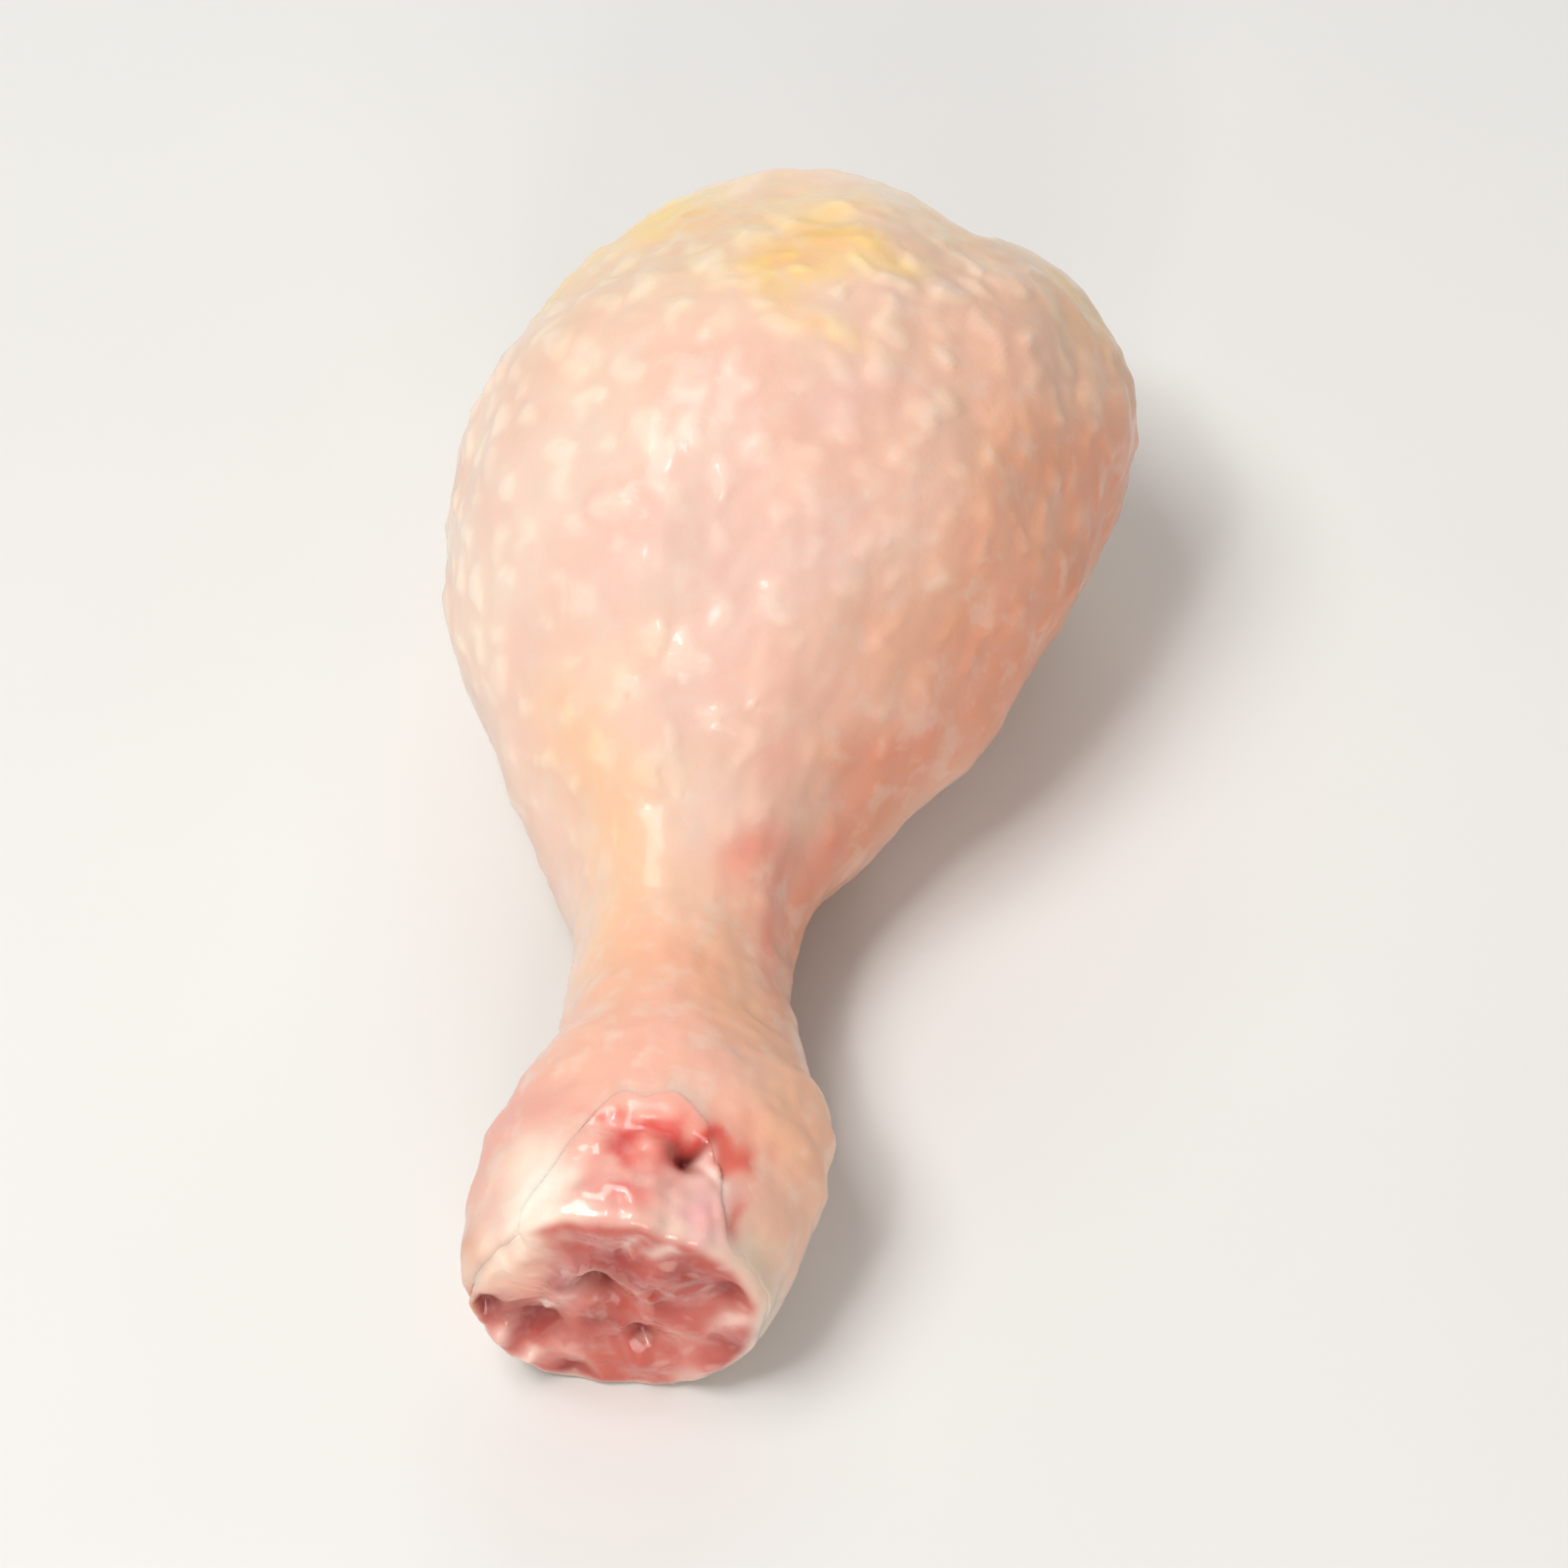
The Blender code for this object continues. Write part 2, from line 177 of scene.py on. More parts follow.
def smooth_through(places, values, at):
    """A natural cubic spline through the values at the places, read at other places."""
    x, y = np.asarray(places, float), np.asarray(values, float)
    gaps = np.diff(x)
    slopes = np.diff(y) / gaps
    count = len(x)
    matrix, right = np.eye(count), np.zeros(count)
    for i in range(1, count - 1):
        matrix[i, i - 1 : i + 2] = gaps[i - 1], 2 * (gaps[i - 1] + gaps[i]), gaps[i]
        right[i] = 6 * (slopes[i] - slopes[i - 1])
    bend = np.linalg.solve(matrix, right)
    i = np.clip(np.searchsorted(x, at) - 1, 0, count - 2)
    before, after, gap = at - x[i], x[i + 1] - at, gaps[i]
    curved = (bend[i] * after**3 + bend[i + 1] * before**3) / (6 * gap)
    straight = (y[i] / gap - bend[i] * gap / 6) * after + (y[i + 1] / gap - bend[i + 1] * gap / 6) * before
    return curved + straight


def smooth_step(value, start, end):
    """0 before start, 1 past end, and an S-curve between them."""
    share = np.clip((value - start) / (end - start), 0, 1)
    return share * share * (3 - 2 * share)


def turn_from(angle, degrees):
    """The angle in degrees between a direction and others round the leg, at most half a turn either way."""
    return np.degrees(np.angle(np.exp(1j * (angle - math.radians(degrees)))))


def leg_bell(along, angle, place, direction, reach_along, reach_round):
    """A bell curve round a place on the leg: 1 there, and falling off along the leg and round it."""
    return np.exp(-(((along - place) / reach_along) ** 2) - (turn_from(angle, direction) / reach_round) ** 2)


def flat_bell(angle, middle, half_angle):
    """A flat-topped bell curve round the leg: e to the power of minus the fourth power of the turn."""
    return np.exp(-((turn_from(angle, middle) / half_angle) ** 4))


def ring_angles(columns):
    """Angles of a ring's points, evenly round the leg from its right side over its top."""
    return np.linspace(0, 2 * math.pi, columns, endpoint=False)[None, :]


def rested(height):
    """Height above what the leg lies on: flat where the skin presses down, with a soft turn up."""
    soft = CONTACT_SOFTNESS
    return np.where(height < -soft, 0.0, np.where(height < soft, (height + soft) ** 2 / (4 * soft), height))


def along_at(turn):
    """Distance along the leg: a quarter circle's rise for the first turn, and a straight run past it."""
    quarter = np.clip(turn, 0, 1) * math.pi / 2
    return KNEE_ROUNDING * (1 - np.cos(quarter)) + TURN_LENGTH * np.maximum(turn - 1, 0)


def outside_at(turn, angle):
    """Points on the leg's outside: an ellipse through the four reaches, opening as a quarter circle over the
    first turn, moved out by each swelling's bell curve and flattened where it rests."""
    turn, angle = np.broadcast_arrays(turn, angle)
    along = along_at(turn)
    opened = np.sin(np.clip(turn, 0, 1) * math.pi / 2)
    places, *reaches = np.array(STATIONS).T
    left, right, low, high = (smooth_through(places, reach, along) for reach in reaches)
    swell = np.zeros_like(along)
    for *place, height in SWELLINGS:
        swell += height * leg_bell(along, angle, *place)
    x = AXIS_X + (right - left) / 2 + ((left + right) / 2 * opened + swell) * np.cos(angle)
    z = (high + low) / 2 + ((high - low) / 2 * opened + swell) * np.sin(angle)
    return np.stack([x, TIP_Y - along, rested(z)], axis=-1)


def turn_at(along):
    """The value of turn at a distance along the leg that lies past the knee rounding."""
    return 1 + (along - KNEE_ROUNDING) / TURN_LENGTH


def knee_edge(angle):
    """The skin's edge round the knee, as a turn: a few long waves and one notch."""
    middle, half_angle, depth = KNEE_NOTCH
    edge = KNEE_OPENING + depth * np.exp(-((turn_from(angle, middle) / half_angle) ** 2))
    for waves, height, phase in KNEE_EDGE_WAVES:
        edge = edge + height * np.sin(waves * angle + math.radians(phase))
    return edge


def torn(angle):
    """How far a direction lies in the tear."""
    return flat_bell(angle, TEAR_ANGLE, TEAR_HALF_ANGLE)


def hock_cut(angle, tear_length):
    """Distance along the leg of the cut through its hock, drawn back under the tear."""
    slant = HOCK_CUT_SLANT * (1 + np.cos(angle)) / 2
    return LENGTH - SKIN_THICKNESS / 2 - slant - tear_length * torn(angle)


def ragged(angle, size, seed):
    """An uneven edge round the leg: sine waves of 7 to 46 to the turn, smaller as they grow shorter."""
    random = np.random.default_rng(seed)
    waves = np.arange(7, 47)
    phases = random.uniform(0, 2 * math.pi, waves.size)
    heights = random.uniform(0.1, 1.0, waves.size) * (7 / waves) ** 1.3
    summed = size * (heights * np.sin(waves * angle[..., None] + phases)).sum(-1)
    return summed / np.sqrt((heights**2).sum() / 2)


def fat_roll(angle):
    """How far a direction lies where a roll of fat fills the skin's edge at the hock."""
    return flat_bell(angle, FAT_ROLL_ANGLE, FAT_ROLL_HALF_ANGLE)


def hock_edge(angle):
    """Distance along the leg of the skin's own edge at the hock: the cut, torn, drawn back and ragged."""
    back = DRAWN_BACK * flat_bell(angle, DRAWN_BACK_ANGLE, DRAWN_BACK_HALF_ANGLE)
    notches = np.abs(ragged(angle, HOCK_RAGGEDNESS, 4)) * (1 - 0.8 * fat_roll(angle))
    edge = hock_cut(angle, TEAR_LENGTH) - back - notches
    return edge - ragged(angle, TEAR_RAGGEDNESS, 8) * torn(angle)


def spread_rows(rows, crowding):
    """Shares from 0 to 1 for a column of rings, crowded towards both ends by a share of an even distance."""
    even = np.linspace(0, 1, rows)[:, None]
    return even - crowding * np.sin(2 * math.pi * even) / (2 * math.pi)


def leg_turns(rows, knee_turn, hock_end):
    """Rings from the knee edge to the hock end: straight across the leg, bending to the edges near them."""
    share = spread_rows(rows, ROW_CROWDING)
    plain_end = turn_at(LENGTH)
    straight = KNEE_OPENING + (plain_end - KNEE_OPENING) * share
    at_knee = (knee_turn - KNEE_OPENING) * (1 - share) ** 5
    return straight + at_knee + (turn_at(hock_end) - plain_end) * share**5


def unit(ways):
    """Each way with a length of 1."""
    return ways / np.linalg.norm(ways, axis=-1, keepdims=True)


def outward_normals(points):
    """Unit normals of a grid of rings: the cross product of its directions round and along the leg."""
    round_the_leg = np.roll(points, -1, axis=1) - np.roll(points, 1, axis=1)
    return unit(np.cross(round_the_leg, np.gradient(points, axis=0)))


def unevenness(points, wavelength, height, seed):
    """A smooth random relief: 26 plane waves in random directions, with lengths round the one given."""
    random = np.random.default_rng(seed)
    ways = random.normal(size=(26, 3))
    ways *= 2 * math.pi / (wavelength * np.linalg.norm(ways, axis=1, keepdims=True))
    ways *= random.uniform(0.7, 1.3, (26, 1))
    return height * np.cos(points @ ways.T + random.uniform(0, 2 * math.pi, 26)).sum(-1) / math.sqrt(13)


def skin_relief(points):
    """The skin's unevenness: relief of three sizes."""
    return sum(unevenness(points, length, height, 20) for length, height in SKIN_WAVES)


def membrane(angle):
    """How far the skin's edge at the hock is a torn membrane: where the tear leaves the cut."""
    return smooth_step(hock_cut(angle, 0) - hock_cut(angle, TEAR_LENGTH), 0.0001, 0.0009)


def skin_depth(along, angle):
    """Thickness of the skin: even, but thinning out towards the tear and the knee edge, and less so towards
    the cut beside the tear."""
    edge = hock_edge(angle)
    near_tear = smooth_step(along - edge, -TORN_REACH, -0.0003)
    near_cut = smooth_step(along - edge, -CUT_REACH, -0.0010)
    near_knee = 1 - smooth_step(along - along_at(knee_edge(angle)), 0.0005, LIP_REACH)
    lip = LIP_THICKNESS + ragged(angle, LIP_VARIATION, 6)
    depth = SKIN_THICKNESS + (CUT_THICKNESS - SKIN_THICKNESS) * near_cut * (1 - fat_roll(angle))
    depth = depth + (lip - SKIN_THICKNESS) * near_knee
    return depth + (TORN_THICKNESS - depth) * near_tear * membrane(angle)


def half_round_edge(outer, inner, ahead, rows, fullness=0.0):
    """Rings that close a cut edge with a half circle from the outer ring to the inner one, bulging ahead.
    Fullness keeps the inner half of it from sinking back."""
    middle, arm = (outer + inner) / 2, (outer - inner) / 2
    radius = np.linalg.norm(arm, axis=-1, keepdims=True)
    ahead = ahead - (ahead * arm).sum(-1, keepdims=True) * arm / radius**2
    ahead = unit(ahead) * radius
    rings = []
    for turned in np.linspace(0, math.pi, rows + 2)[1:-1]:
        sunk = 1 - math.sin(turned)
        filled = 0.85 * fullness * sunk if turned > math.pi / 2 else 0.0
        rings.append(middle + arm * math.cos(turned) + ahead * (1 - sunk + filled))
    return np.array(rings)


def follicle_places():
    """Feather follicles as turns and angles: each lies a golden angle on from the last one, and further along
    by the spacing squared over the girth, so that they cover the leg evenly in slanting rows."""
    random = np.random.default_rng(11)
    turns = np.linspace(0.5, turn_at(LENGTH), 400)[:, None]
    rings = outside_at(turns, ring_angles(90) + 0 * turns)
    girth = np.linalg.norm(np.roll(rings, 1, axis=1) - rings, axis=-1).sum(-1)
    step = np.linalg.norm(np.diff(rings.mean(axis=1), axis=0), axis=-1)
    covered = np.concatenate([[0], np.cumsum(step * (girth[1:] + girth[:-1]) / 2)])
    count = int(covered[-1] / FOLLICLE_SPACING**2)
    order = np.arange(count)
    turn = np.interp((order + 0.5) * FOLLICLE_SPACING**2, covered, turns[:, 0])
    radius = np.interp(turn, turns[:, 0], girth / (2 * math.pi))
    angle = order * math.pi * (3 - math.sqrt(5)) + random.normal(0, 1, count) * FOLLICLE_JITTER / radius
    return turn + random.normal(0, 1, count) * FOLLICLE_JITTER / TURN_LENGTH, angle % (2 * math.pi)


def follicle_relief(points):
    """Height, bump mask and pore mask at each point: a slanting oval bell for every follicle near it, steeper
    on its hock side and warped, with a narrow pit behind its crest."""
    random = np.random.default_rng(5)
    turn, angle = follicle_places()
    centres = outside_at(turn, angle)
    lengthways = unit(outside_at(turn + 0.004, angle) - outside_at(turn - 0.004, angle))
    sideways = unit(outside_at(turn, angle - 0.01) - outside_at(turn, angle + 0.01))
    slant = np.radians(FOLLICLE_SLANT + random.normal(0, 10, len(turn)))[:, None]
    down_the_slant = lengthways * np.cos(slant) + sideways * np.sin(slant)
    along = along_at(turn)
    strength = smooth_step(along, 0.017, 0.030) * (1 - 0.85 * smooth_step(along, 0.070, 0.092))
    strength *= 0.35 + 0.65 * smooth_step(np.sin(angle), -0.6, 0.3)
    strength *= 1 - 0.35 * smooth_step(along, 0.044, 0.066)
    strength *= random.uniform(0.55, 1.15, len(turn))
    size = random.uniform(0.75, 1.20, len(turn))
    height, bump, pore = (np.zeros(points.shape[:2]) for _ in range(3))
    warp = np.stack([unevenness(points, 0.0040, FOLLICLE_WARP, seed) for seed in (21, 22, 23)], axis=-1)
    for i, ring in enumerate(points + warp):
        near = np.abs(centres[:, 1] - points[i, :, 1].mean()) < FOLLICLE_FIELD
        away = ring[:, None] - centres[near]
        ahead = (away * down_the_slant[near]).sum(-1)
        across = np.sqrt(np.maximum((away**2).sum(-1) - ahead**2, 0))
        steep = ahead * np.where(ahead > 0, FOLLICLE_STEEP, FOLLICLE_LONG)
        length, width = FOLLICLE_LENGTH * size[near], FOLLICLE_WIDTH * size[near]
        bell = np.exp(-((steep / length) ** 2) - (across / width) ** 2)
        pit = np.exp(-((ahead - 0.5 * FOLLICLE_LENGTH) ** 2 + across**2) / PORE_RADIUS**2)
        height[i] = (strength[near] * (FOLLICLE_HEIGHT * bell - PORE_DEPTH * pit)).sum(-1)
        bump[i] = (strength[near] * bell).max(-1)
        pore[i] = (strength[near] * pit).max(-1)
    return height, bump, pore


def drawn(colour, towards, share):
    """A colour drawn towards another one by a share at each point."""
    return colour + (towards - colour) * share[..., None]


def painted(colour, along, angle, tints):
    """The colours, drawn towards each tint's colour by its bell curve along and round the leg."""
    for *place, tint, strength in tints:
        colour = drawn(colour, tint, strength * leg_bell(along, angle, *place))
    return colour


def painted_outside(points, along, angle):
    """The skin's tints and the wound's, each at places that drift a little from point to point."""
    drift, turned = unevenness(points, 0.012, 0.0020, 41), unevenness(points, 0.012, math.radians(6), 42)
    tint = painted(SKIN_PINK * 0.3 + SKIN_CREAM * 0.7, along + drift, angle + turned, SKIN_TINTS)
    drift, turned = unevenness(points, 0.003, 0.0004, 43), unevenness(points, 0.003, math.radians(2), 44)
    return painted(tint, along + drift, angle + turned, WOUND_TINTS)


def grid_piece(name, rings, joined, colour, masks, material):
    """A smooth mesh over a grid of closed rings of points. Its last ring joins its first, or both ends close
    in a fan. Its colour and masks go into attributes that its material reads."""
    rows, columns = rings.shape[:2]
    points = rings.reshape(-1, 3)
    index = np.arange(rows * columns).reshape(rows, columns)
    near = index if joined else index[:-1]
    far = np.roll(index, -1, axis=0)[: len(near)]
    faces = np.stack([near, np.roll(near, -1, axis=1), np.roll(far, -1, axis=1), far], axis=-1)
    faces = faces.reshape(-1, 4).tolist()
    colour, masks = colour.reshape(-1, 3), {key: value.reshape(-1) for key, value in masks.items()}
    if not joined:
        for ring, tip in ((index[0][::-1], rows * columns), (index[-1], rows * columns + 1)):
            faces += np.stack([ring, np.roll(ring, -1), np.full(columns, tip)], axis=-1).tolist()
        points = np.concatenate([points, rings[[0, -1]].mean(axis=1)])
        ends = [0, -columns]
        colour = np.concatenate([colour, colour[ends]])
        masks = {key: np.concatenate([value, value[ends]]) for key, value in masks.items()}
    mesh = bpy.data.meshes.new(name)
    mesh.from_pydata(points.tolist(), [], faces)
    mesh.shade_smooth()
    opaque = np.column_stack([colour, np.ones(len(colour))]).astype(np.float32)
    mesh.attributes.new("tint", "FLOAT_COLOR", "POINT").data.foreach_set("color", opaque.ravel())
    for key, value in masks.items():
        mesh.attributes.new(key, "FLOAT", "POINT").data.foreach_set("value", value.astype(np.float32))
    mesh.materials.append(material)
    piece = bpy.data.objects.new(name, mesh)
    bpy.context.collection.objects.link(piece)
    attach(piece, "root")
    return piece


def feed(socket, source):
    """Joins a socket to another one, or gives it a plain number, vector or colour."""
    if isinstance(source, bpy.types.NodeSocket):
        socket.id_data.links.new(source, socket)
    elif socket.type == "RGBA":
        socket.default_value = (*source, 1.0)
    else:
        socket.default_value = source


def add_node(tree, kind, values=None, **settings):
    """A node of that kind, with its settings and what goes into its sockets."""
    node = tree.nodes.new(kind)
    for key, value in settings.items():
        setattr(node, key, value)
    for key, source in (values or {}).items():
        feed(node.inputs[key], source)
    return node


def new_group(name, inputs, outputs):
    """An empty node group with its named sockets: its tree, what it is given, and what it puts out."""
    tree = bpy.data.node_groups.new(name, "ShaderNodeTree")
    for way, sockets in (("INPUT", inputs), ("OUTPUT", outputs)):
        for label, kind in sockets.items():
            tree.interface.new_socket(label, in_out=way, socket_type="NodeSocket" + kind)
    return tree, tree.nodes.new("NodeGroupInput").outputs, tree.nodes.new("NodeGroupOutput").inputs


def object_place(tree):
    """The socket that gives the place on the object."""
    return add_node(tree, "ShaderNodeTexCoord").outputs["Object"]


def scaled_noise(tree, vector, scale, detail, roughness=0.55, distortion=0.0):
    """A noise texture read at a vector, with the number of its cells to the metre."""
    values = {"Scale": scale, "Detail": detail, "Roughness": roughness, "Distortion": distortion}
    return add_node(tree, "ShaderNodeTexNoise", {"Vector": vector, **values}).outputs["Fac"]


def ramp(tree, value, start, end, low=0.0, high=1.0):
    """A value that climbs smoothly from low to high while the one that it reads goes from start to end."""
    values = {0: value, 1: start, 2: end, 3: low, 4: high}
    return add_node(tree, "ShaderNodeMapRange", values, interpolation_type="SMOOTHSTEP").outputs[0]


def mixed(tree, share, low, high):
    """Two colours mixed by a share. Each is a socket or a plain colour."""
    return add_node(tree, "ShaderNodeMix", {0: share, 6: low, 7: high}, data_type="RGBA").outputs[2]


def combined(tree, operation, first, second):
    """Two values put together by a math operation. Each is a socket or a plain number."""
    return add_node(tree, "ShaderNodeMath", {0: first, 1: second}, operation=operation).outputs[0]


def read_mask(tree, name, share=1.0):
    """A piece's attribute, at a share of its value."""
    mask = add_node(tree, "ShaderNodeAttribute", attribute_name=name).outputs["Fac"]
    return mask if share == 1.0 else combined(tree, "MULTIPLY", mask, share)


def make_mottle_group():
    """Blood and fat under the surface: large soft blotches of one colour and smaller ones of another."""
    amounts = {"Blush amount": "Float", "Pale amount": "Float"}
    colours = {"Colour": "Color", "Blush": "Color", "Pale": "Color"}
    tree, given, put_out = new_group(
        "Raw mottle", {"Coordinates": "Vector", **colours, **amounts}, {"Colour": "Color"}
    )
    colour = given["Colour"]
    for name, cells, detail, start, end in (("Blush", 110, 4, 0.46, 0.66), ("Pale", 330, 3, 0.50, 0.68)):
        blotches = ramp(tree, scaled_noise(tree, given["Coordinates"], cells, detail), start, end)
        share = combined(tree, "MULTIPLY", blotches, given[name + " amount"])
        colour = mixed(tree, share, colour, given[name])
    feed(put_out["Colour"], colour)
    return tree


def make_moisture_group():
    """The film of moisture: wetter and drier patches, as a roughness and as the weight of a clear coat."""
    tree, given, put_out = new_group(
        "Moist film",
        {"Coordinates": "Vector", "Dry roughness": "Float", "Wet roughness": "Float", "Film": "Float"},
        {"Roughness": "Float", "Film": "Float"},
    )
    wet = ramp(tree, scaled_noise(tree, given["Coordinates"], 160, 5), 0.40, 0.62)
    between = {0: wet, 2: given["Dry roughness"], 3: given["Wet roughness"]}
    feed(put_out["Roughness"], add_node(tree, "ShaderNodeMix", between, data_type="FLOAT").outputs[0])
    feed(put_out["Film"], combined(tree, "MULTIPLY", ramp(tree, wet, 0.0, 1.0, 0.45, 1.0), given["Film"]))
    return tree


def make_crease_group():
    """Fine creases: two sizes of folded noise and a grain, as a height."""
    tree, given, put_out = new_group(
        "Fine creases", {"Coordinates": "Vector", "Scale": "Float"}, {"Height": "Float"}
    )
    scaling = {0: given["Coordinates"], "Scale": given["Scale"]}
    place = add_node(tree, "ShaderNodeVectorMath", scaling, operation="SCALE").outputs[0]
    folded = []
    for cells in (420, 1100):
        centred = combined(tree, "SUBTRACT", scaled_noise(tree, place, cells, 2, 0.5, 0.2), 0.5)
        folded.append(ramp(tree, combined(tree, "ABSOLUTE", centred, 0.0), 0.0, 0.18))
    total = combined(tree, "ADD", folded[0], combined(tree, "MULTIPLY", folded[1], 0.4))
    grain = combined(tree, "MULTIPLY", scaled_noise(tree, place, 3200, 2), 0.25)
    feed(put_out["Height"], combined(tree, "ADD", total, grain))
    return tree


mottle, moist_film, fine_creases = make_mottle_group(), make_moisture_group(), make_crease_group()


def new_material(name):
    """A material that starts as the plain shader."""
    material = bpy.data.materials.new(name)
    material.use_nodes = True
    return material


def mottled(material, blush, blush_amount, pale, pale_amount):
    """The piece's painted tint, with blotches of two colours in it."""
    tree = material.node_tree
    values = {
        "Coordinates": object_place(tree),
        "Colour": add_node(tree, "ShaderNodeAttribute", attribute_name="tint").outputs["Color"],
        "Blush": blush,
        "Blush amount": blush_amount,
        "Pale": pale,
        "Pale amount": pale_amount,
    }
    return add_node(tree, "ShaderNodeGroup", values, node_tree=mottle).outputs[0]


def add_surface(material, colour, scatter, scatter_size, bump, dry, wet, film, gloss, creases):
    """Joins a wet meat's shader: its colour, light scattered in it, a moist film and fine creases."""
    tree = material.node_tree
    place = object_place(tree)
    wetness = {"Coordinates": place, "Dry roughness": dry, "Wet roughness": wet, "Film": film}
    moisture = add_node(tree, "ShaderNodeGroup", wetness, node_tree=moist_film).outputs
    folds = {"Coordinates": place, "Scale": creases}
    height = add_node(tree, "ShaderNodeGroup", folds, node_tree=fine_creases).outputs["Height"]
    bumped = add_node(tree, "ShaderNodeBump", {"Strength": 1.0, "Distance": bump, "Height": height})
    values = {
        "Base Color": colour,
        "Roughness": moisture["Roughness"],
        "Normal": bumped.outputs["Normal"],
        "Coat Weight": moisture["Film"],
        "Coat Roughness": gloss,
        "Coat IOR": 1.34,
        "IOR": 1.40,
        "Subsurface Weight": scatter,
        "Subsurface Radius": (1.0, 0.42, 0.28),
        "Subsurface Scale": scatter_size,
    }
    for name, source in values.items():
        feed(tree.nodes["Principled BSDF"].inputs[name], source)


def make_skin_material():
    """Skin: the painted tint, paler on the bumps and pinker between them, mottled, with brown-pink pores."""
    material = new_material("raw_skin")
    tree = material.node_tree
    colour = mottled(material, SKIN_ROSE, 0.24, SKIN_CREAM, 0.30)
    bump = read_mask(tree, "bump")
    valleys = combined(tree, "MULTIPLY", ramp(tree, bump, 0.0, 0.40, 1.0, 0.0), read_mask(tree, "bumpy"))
    colour = mixed(tree, combined(tree, "MULTIPLY", valleys, 0.30), colour, SKIN_VALLEY)
    colour = mixed(tree, ramp(tree, bump, 0.15, 1.15, 0.0, 0.32), colour, SKIN_BUMP)
    colour = mixed(tree, read_mask(tree, "pore", 0.30), colour, SKIN_PORE)
    add_surface(
        material, colour, scatter=0.35, scatter_size=0.0020, bump=0.000012,
        dry=0.48, wet=0.34, film=0.52, gloss=0.11, creases=1.0,
    )
    tree.nodes["Principled BSDF"].inputs["Specular IOR Level"].default_value = 0.3
    return material


def make_skin():
    """The sleeve: its outside with all its relief, a rounded edge at each end, and a plain lining."""
    angle = ring_angles(SKIN_COLUMNS)
    knee = knee_edge(angle) + ragged(angle, KNEE_RAGGEDNESS, 3) / TURN_LENGTH
    hock = hock_edge(angle)
    turn = leg_turns(SKIN_ROWS, knee, hock)
    round_it = angle + 0 * turn
    plain = outside_at(turn, round_it)
    normals = outward_normals(plain)
    along = along_at(turn)
    bumps, bump, pore = follicle_relief(plain)
    relief = bumps + skin_relief(plain)
    ringed = plain * (0.35, 1.0, 0.35)
    neck = smooth_step(along, 0.074, 0.086) * (1 - 0.5 * smooth_step(along, 0.104, 0.112))
    whole = 1 - torn(round_it)
    for length, height in NECK_WAVES:
        relief += neck * whole * unevenness(ringed, length, height, 31)
    to_knee = (turn - knee) * TURN_LENGTH
    relief += LIP_CURL * np.exp(-((to_knee / LIP_CURL_REACH) ** 2)) * (0.5 + 0.5 * np.sin(round_it))
    *place, height = KNEE_FAT
    relief += height * leg_bell(along, round_it, *place)
    resting = smooth_step(plain[..., 2], *RESTING)
    relief, bumps = relief * resting, bumps * resting
    outer = plain + relief[..., None] * normals
    outer[..., 2] = np.maximum(outer[..., 2], 0)

    thickness = skin_depth(along, round_it)
    lined = np.round(spread_rows(SKIN_LINING_ROWS, LINING_CROWDING)[:, 0] * (SKIN_ROWS - 1)).astype(int)
    inner = (plain + (relief - bumps - thickness)[..., None] * normals)[lined]
    fullness = fat_roll(angle).T
    hock_rim = half_round_edge(outer[-1], inner[-1], outer[-1] - outer[-2], SKIN_RIM_ROWS, fullness)
    knee_rim = half_round_edge(inner[0], outer[0], outer[0] - outer[1], SKIN_RIM_ROWS)

    tint = painted_outside(plain, along, round_it)
    # A paler pink along the torn edge beside the wound: partly the torn edge's own colour, partly painted
    # light that lifts the grey shade of the thin membrane there.
    torn_edge_and_light = np.exp(-(((along - hock) / 0.0013) ** 2)) * 0.60 * torn(round_it)
    torn_edge_and_light *= smooth_step(turn_from(round_it, 62), 0, 14)
    tint = drawn(tint, SKIN_TORN_EDGE_AND_LIGHT, torn_edge_and_light)
    tint = drawn(tint, SKIN_RIM, np.exp(-((to_knee / 0.0012) ** 2)) * 0.8)
    bumpy = smooth_step(along, 0.022, 0.034) * (1 - smooth_step(along, 0.070, 0.088))
    hock_tint = np.repeat(tint[-1][None], SKIN_RIM_ROWS, axis=0)
    knee_tint = np.broadcast_to(SKIN_RIM, (SKIN_RIM_ROWS, SKIN_COLUMNS, 3))
    inner_tint = np.broadcast_to(SKIN_RIM * 0.7 + SKIN_FAT * 0.3, inner.shape)
    colour = np.concatenate([tint, hock_tint, inner_tint[::-1], knee_tint])
    rings = np.concatenate([outer, hock_rim, inner[::-1], knee_rim])
    blank = np.zeros((rings.shape[0] - SKIN_ROWS, SKIN_COLUMNS))
    masks = {"bump": bump, "pore": pore, "bumpy": bumpy}
    masks = {key: np.concatenate([mask, blank]) for key, mask in masks.items()}
    piece = grid_piece("drumstick_skin", rings, True, colour, masks, make_skin_material())
    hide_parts("skin")


make_skin()


# The flesh: the raw leg muscles inside the skin. It shows bare in the knee opening, where the thigh was cut
# away at the joint, and round the bone in the cut through the hock, bloodied there and under the skin's tear.
FLESH_COLUMNS, FLESH_ROWS = 320, 720
DOME_ROWS, LEG_LINING_ROWS, TEAR_LINING_ROWS, FACE_ROWS, TUNNEL_ROWS = 72, 20, 64, 58, 10
LINING_GAP, EDGE_GAP = 0.00015, 0.00003  # how far it lies under the skin's lining, and under its torn edge
HIDDEN_GAP = 0.0007  # what is added to that inside the leg
LAP = 0.00003  # how high the flesh laps over the edge of the torn membrane
DOME_BULGE = 0.16
DOME_START, DOME_SLOPE, DOME_CLEARANCE = 0.0028, 0.16, 0.00002
CUFF_HEIGHT = 0.0010  # of the white joint capsule round the bone's head
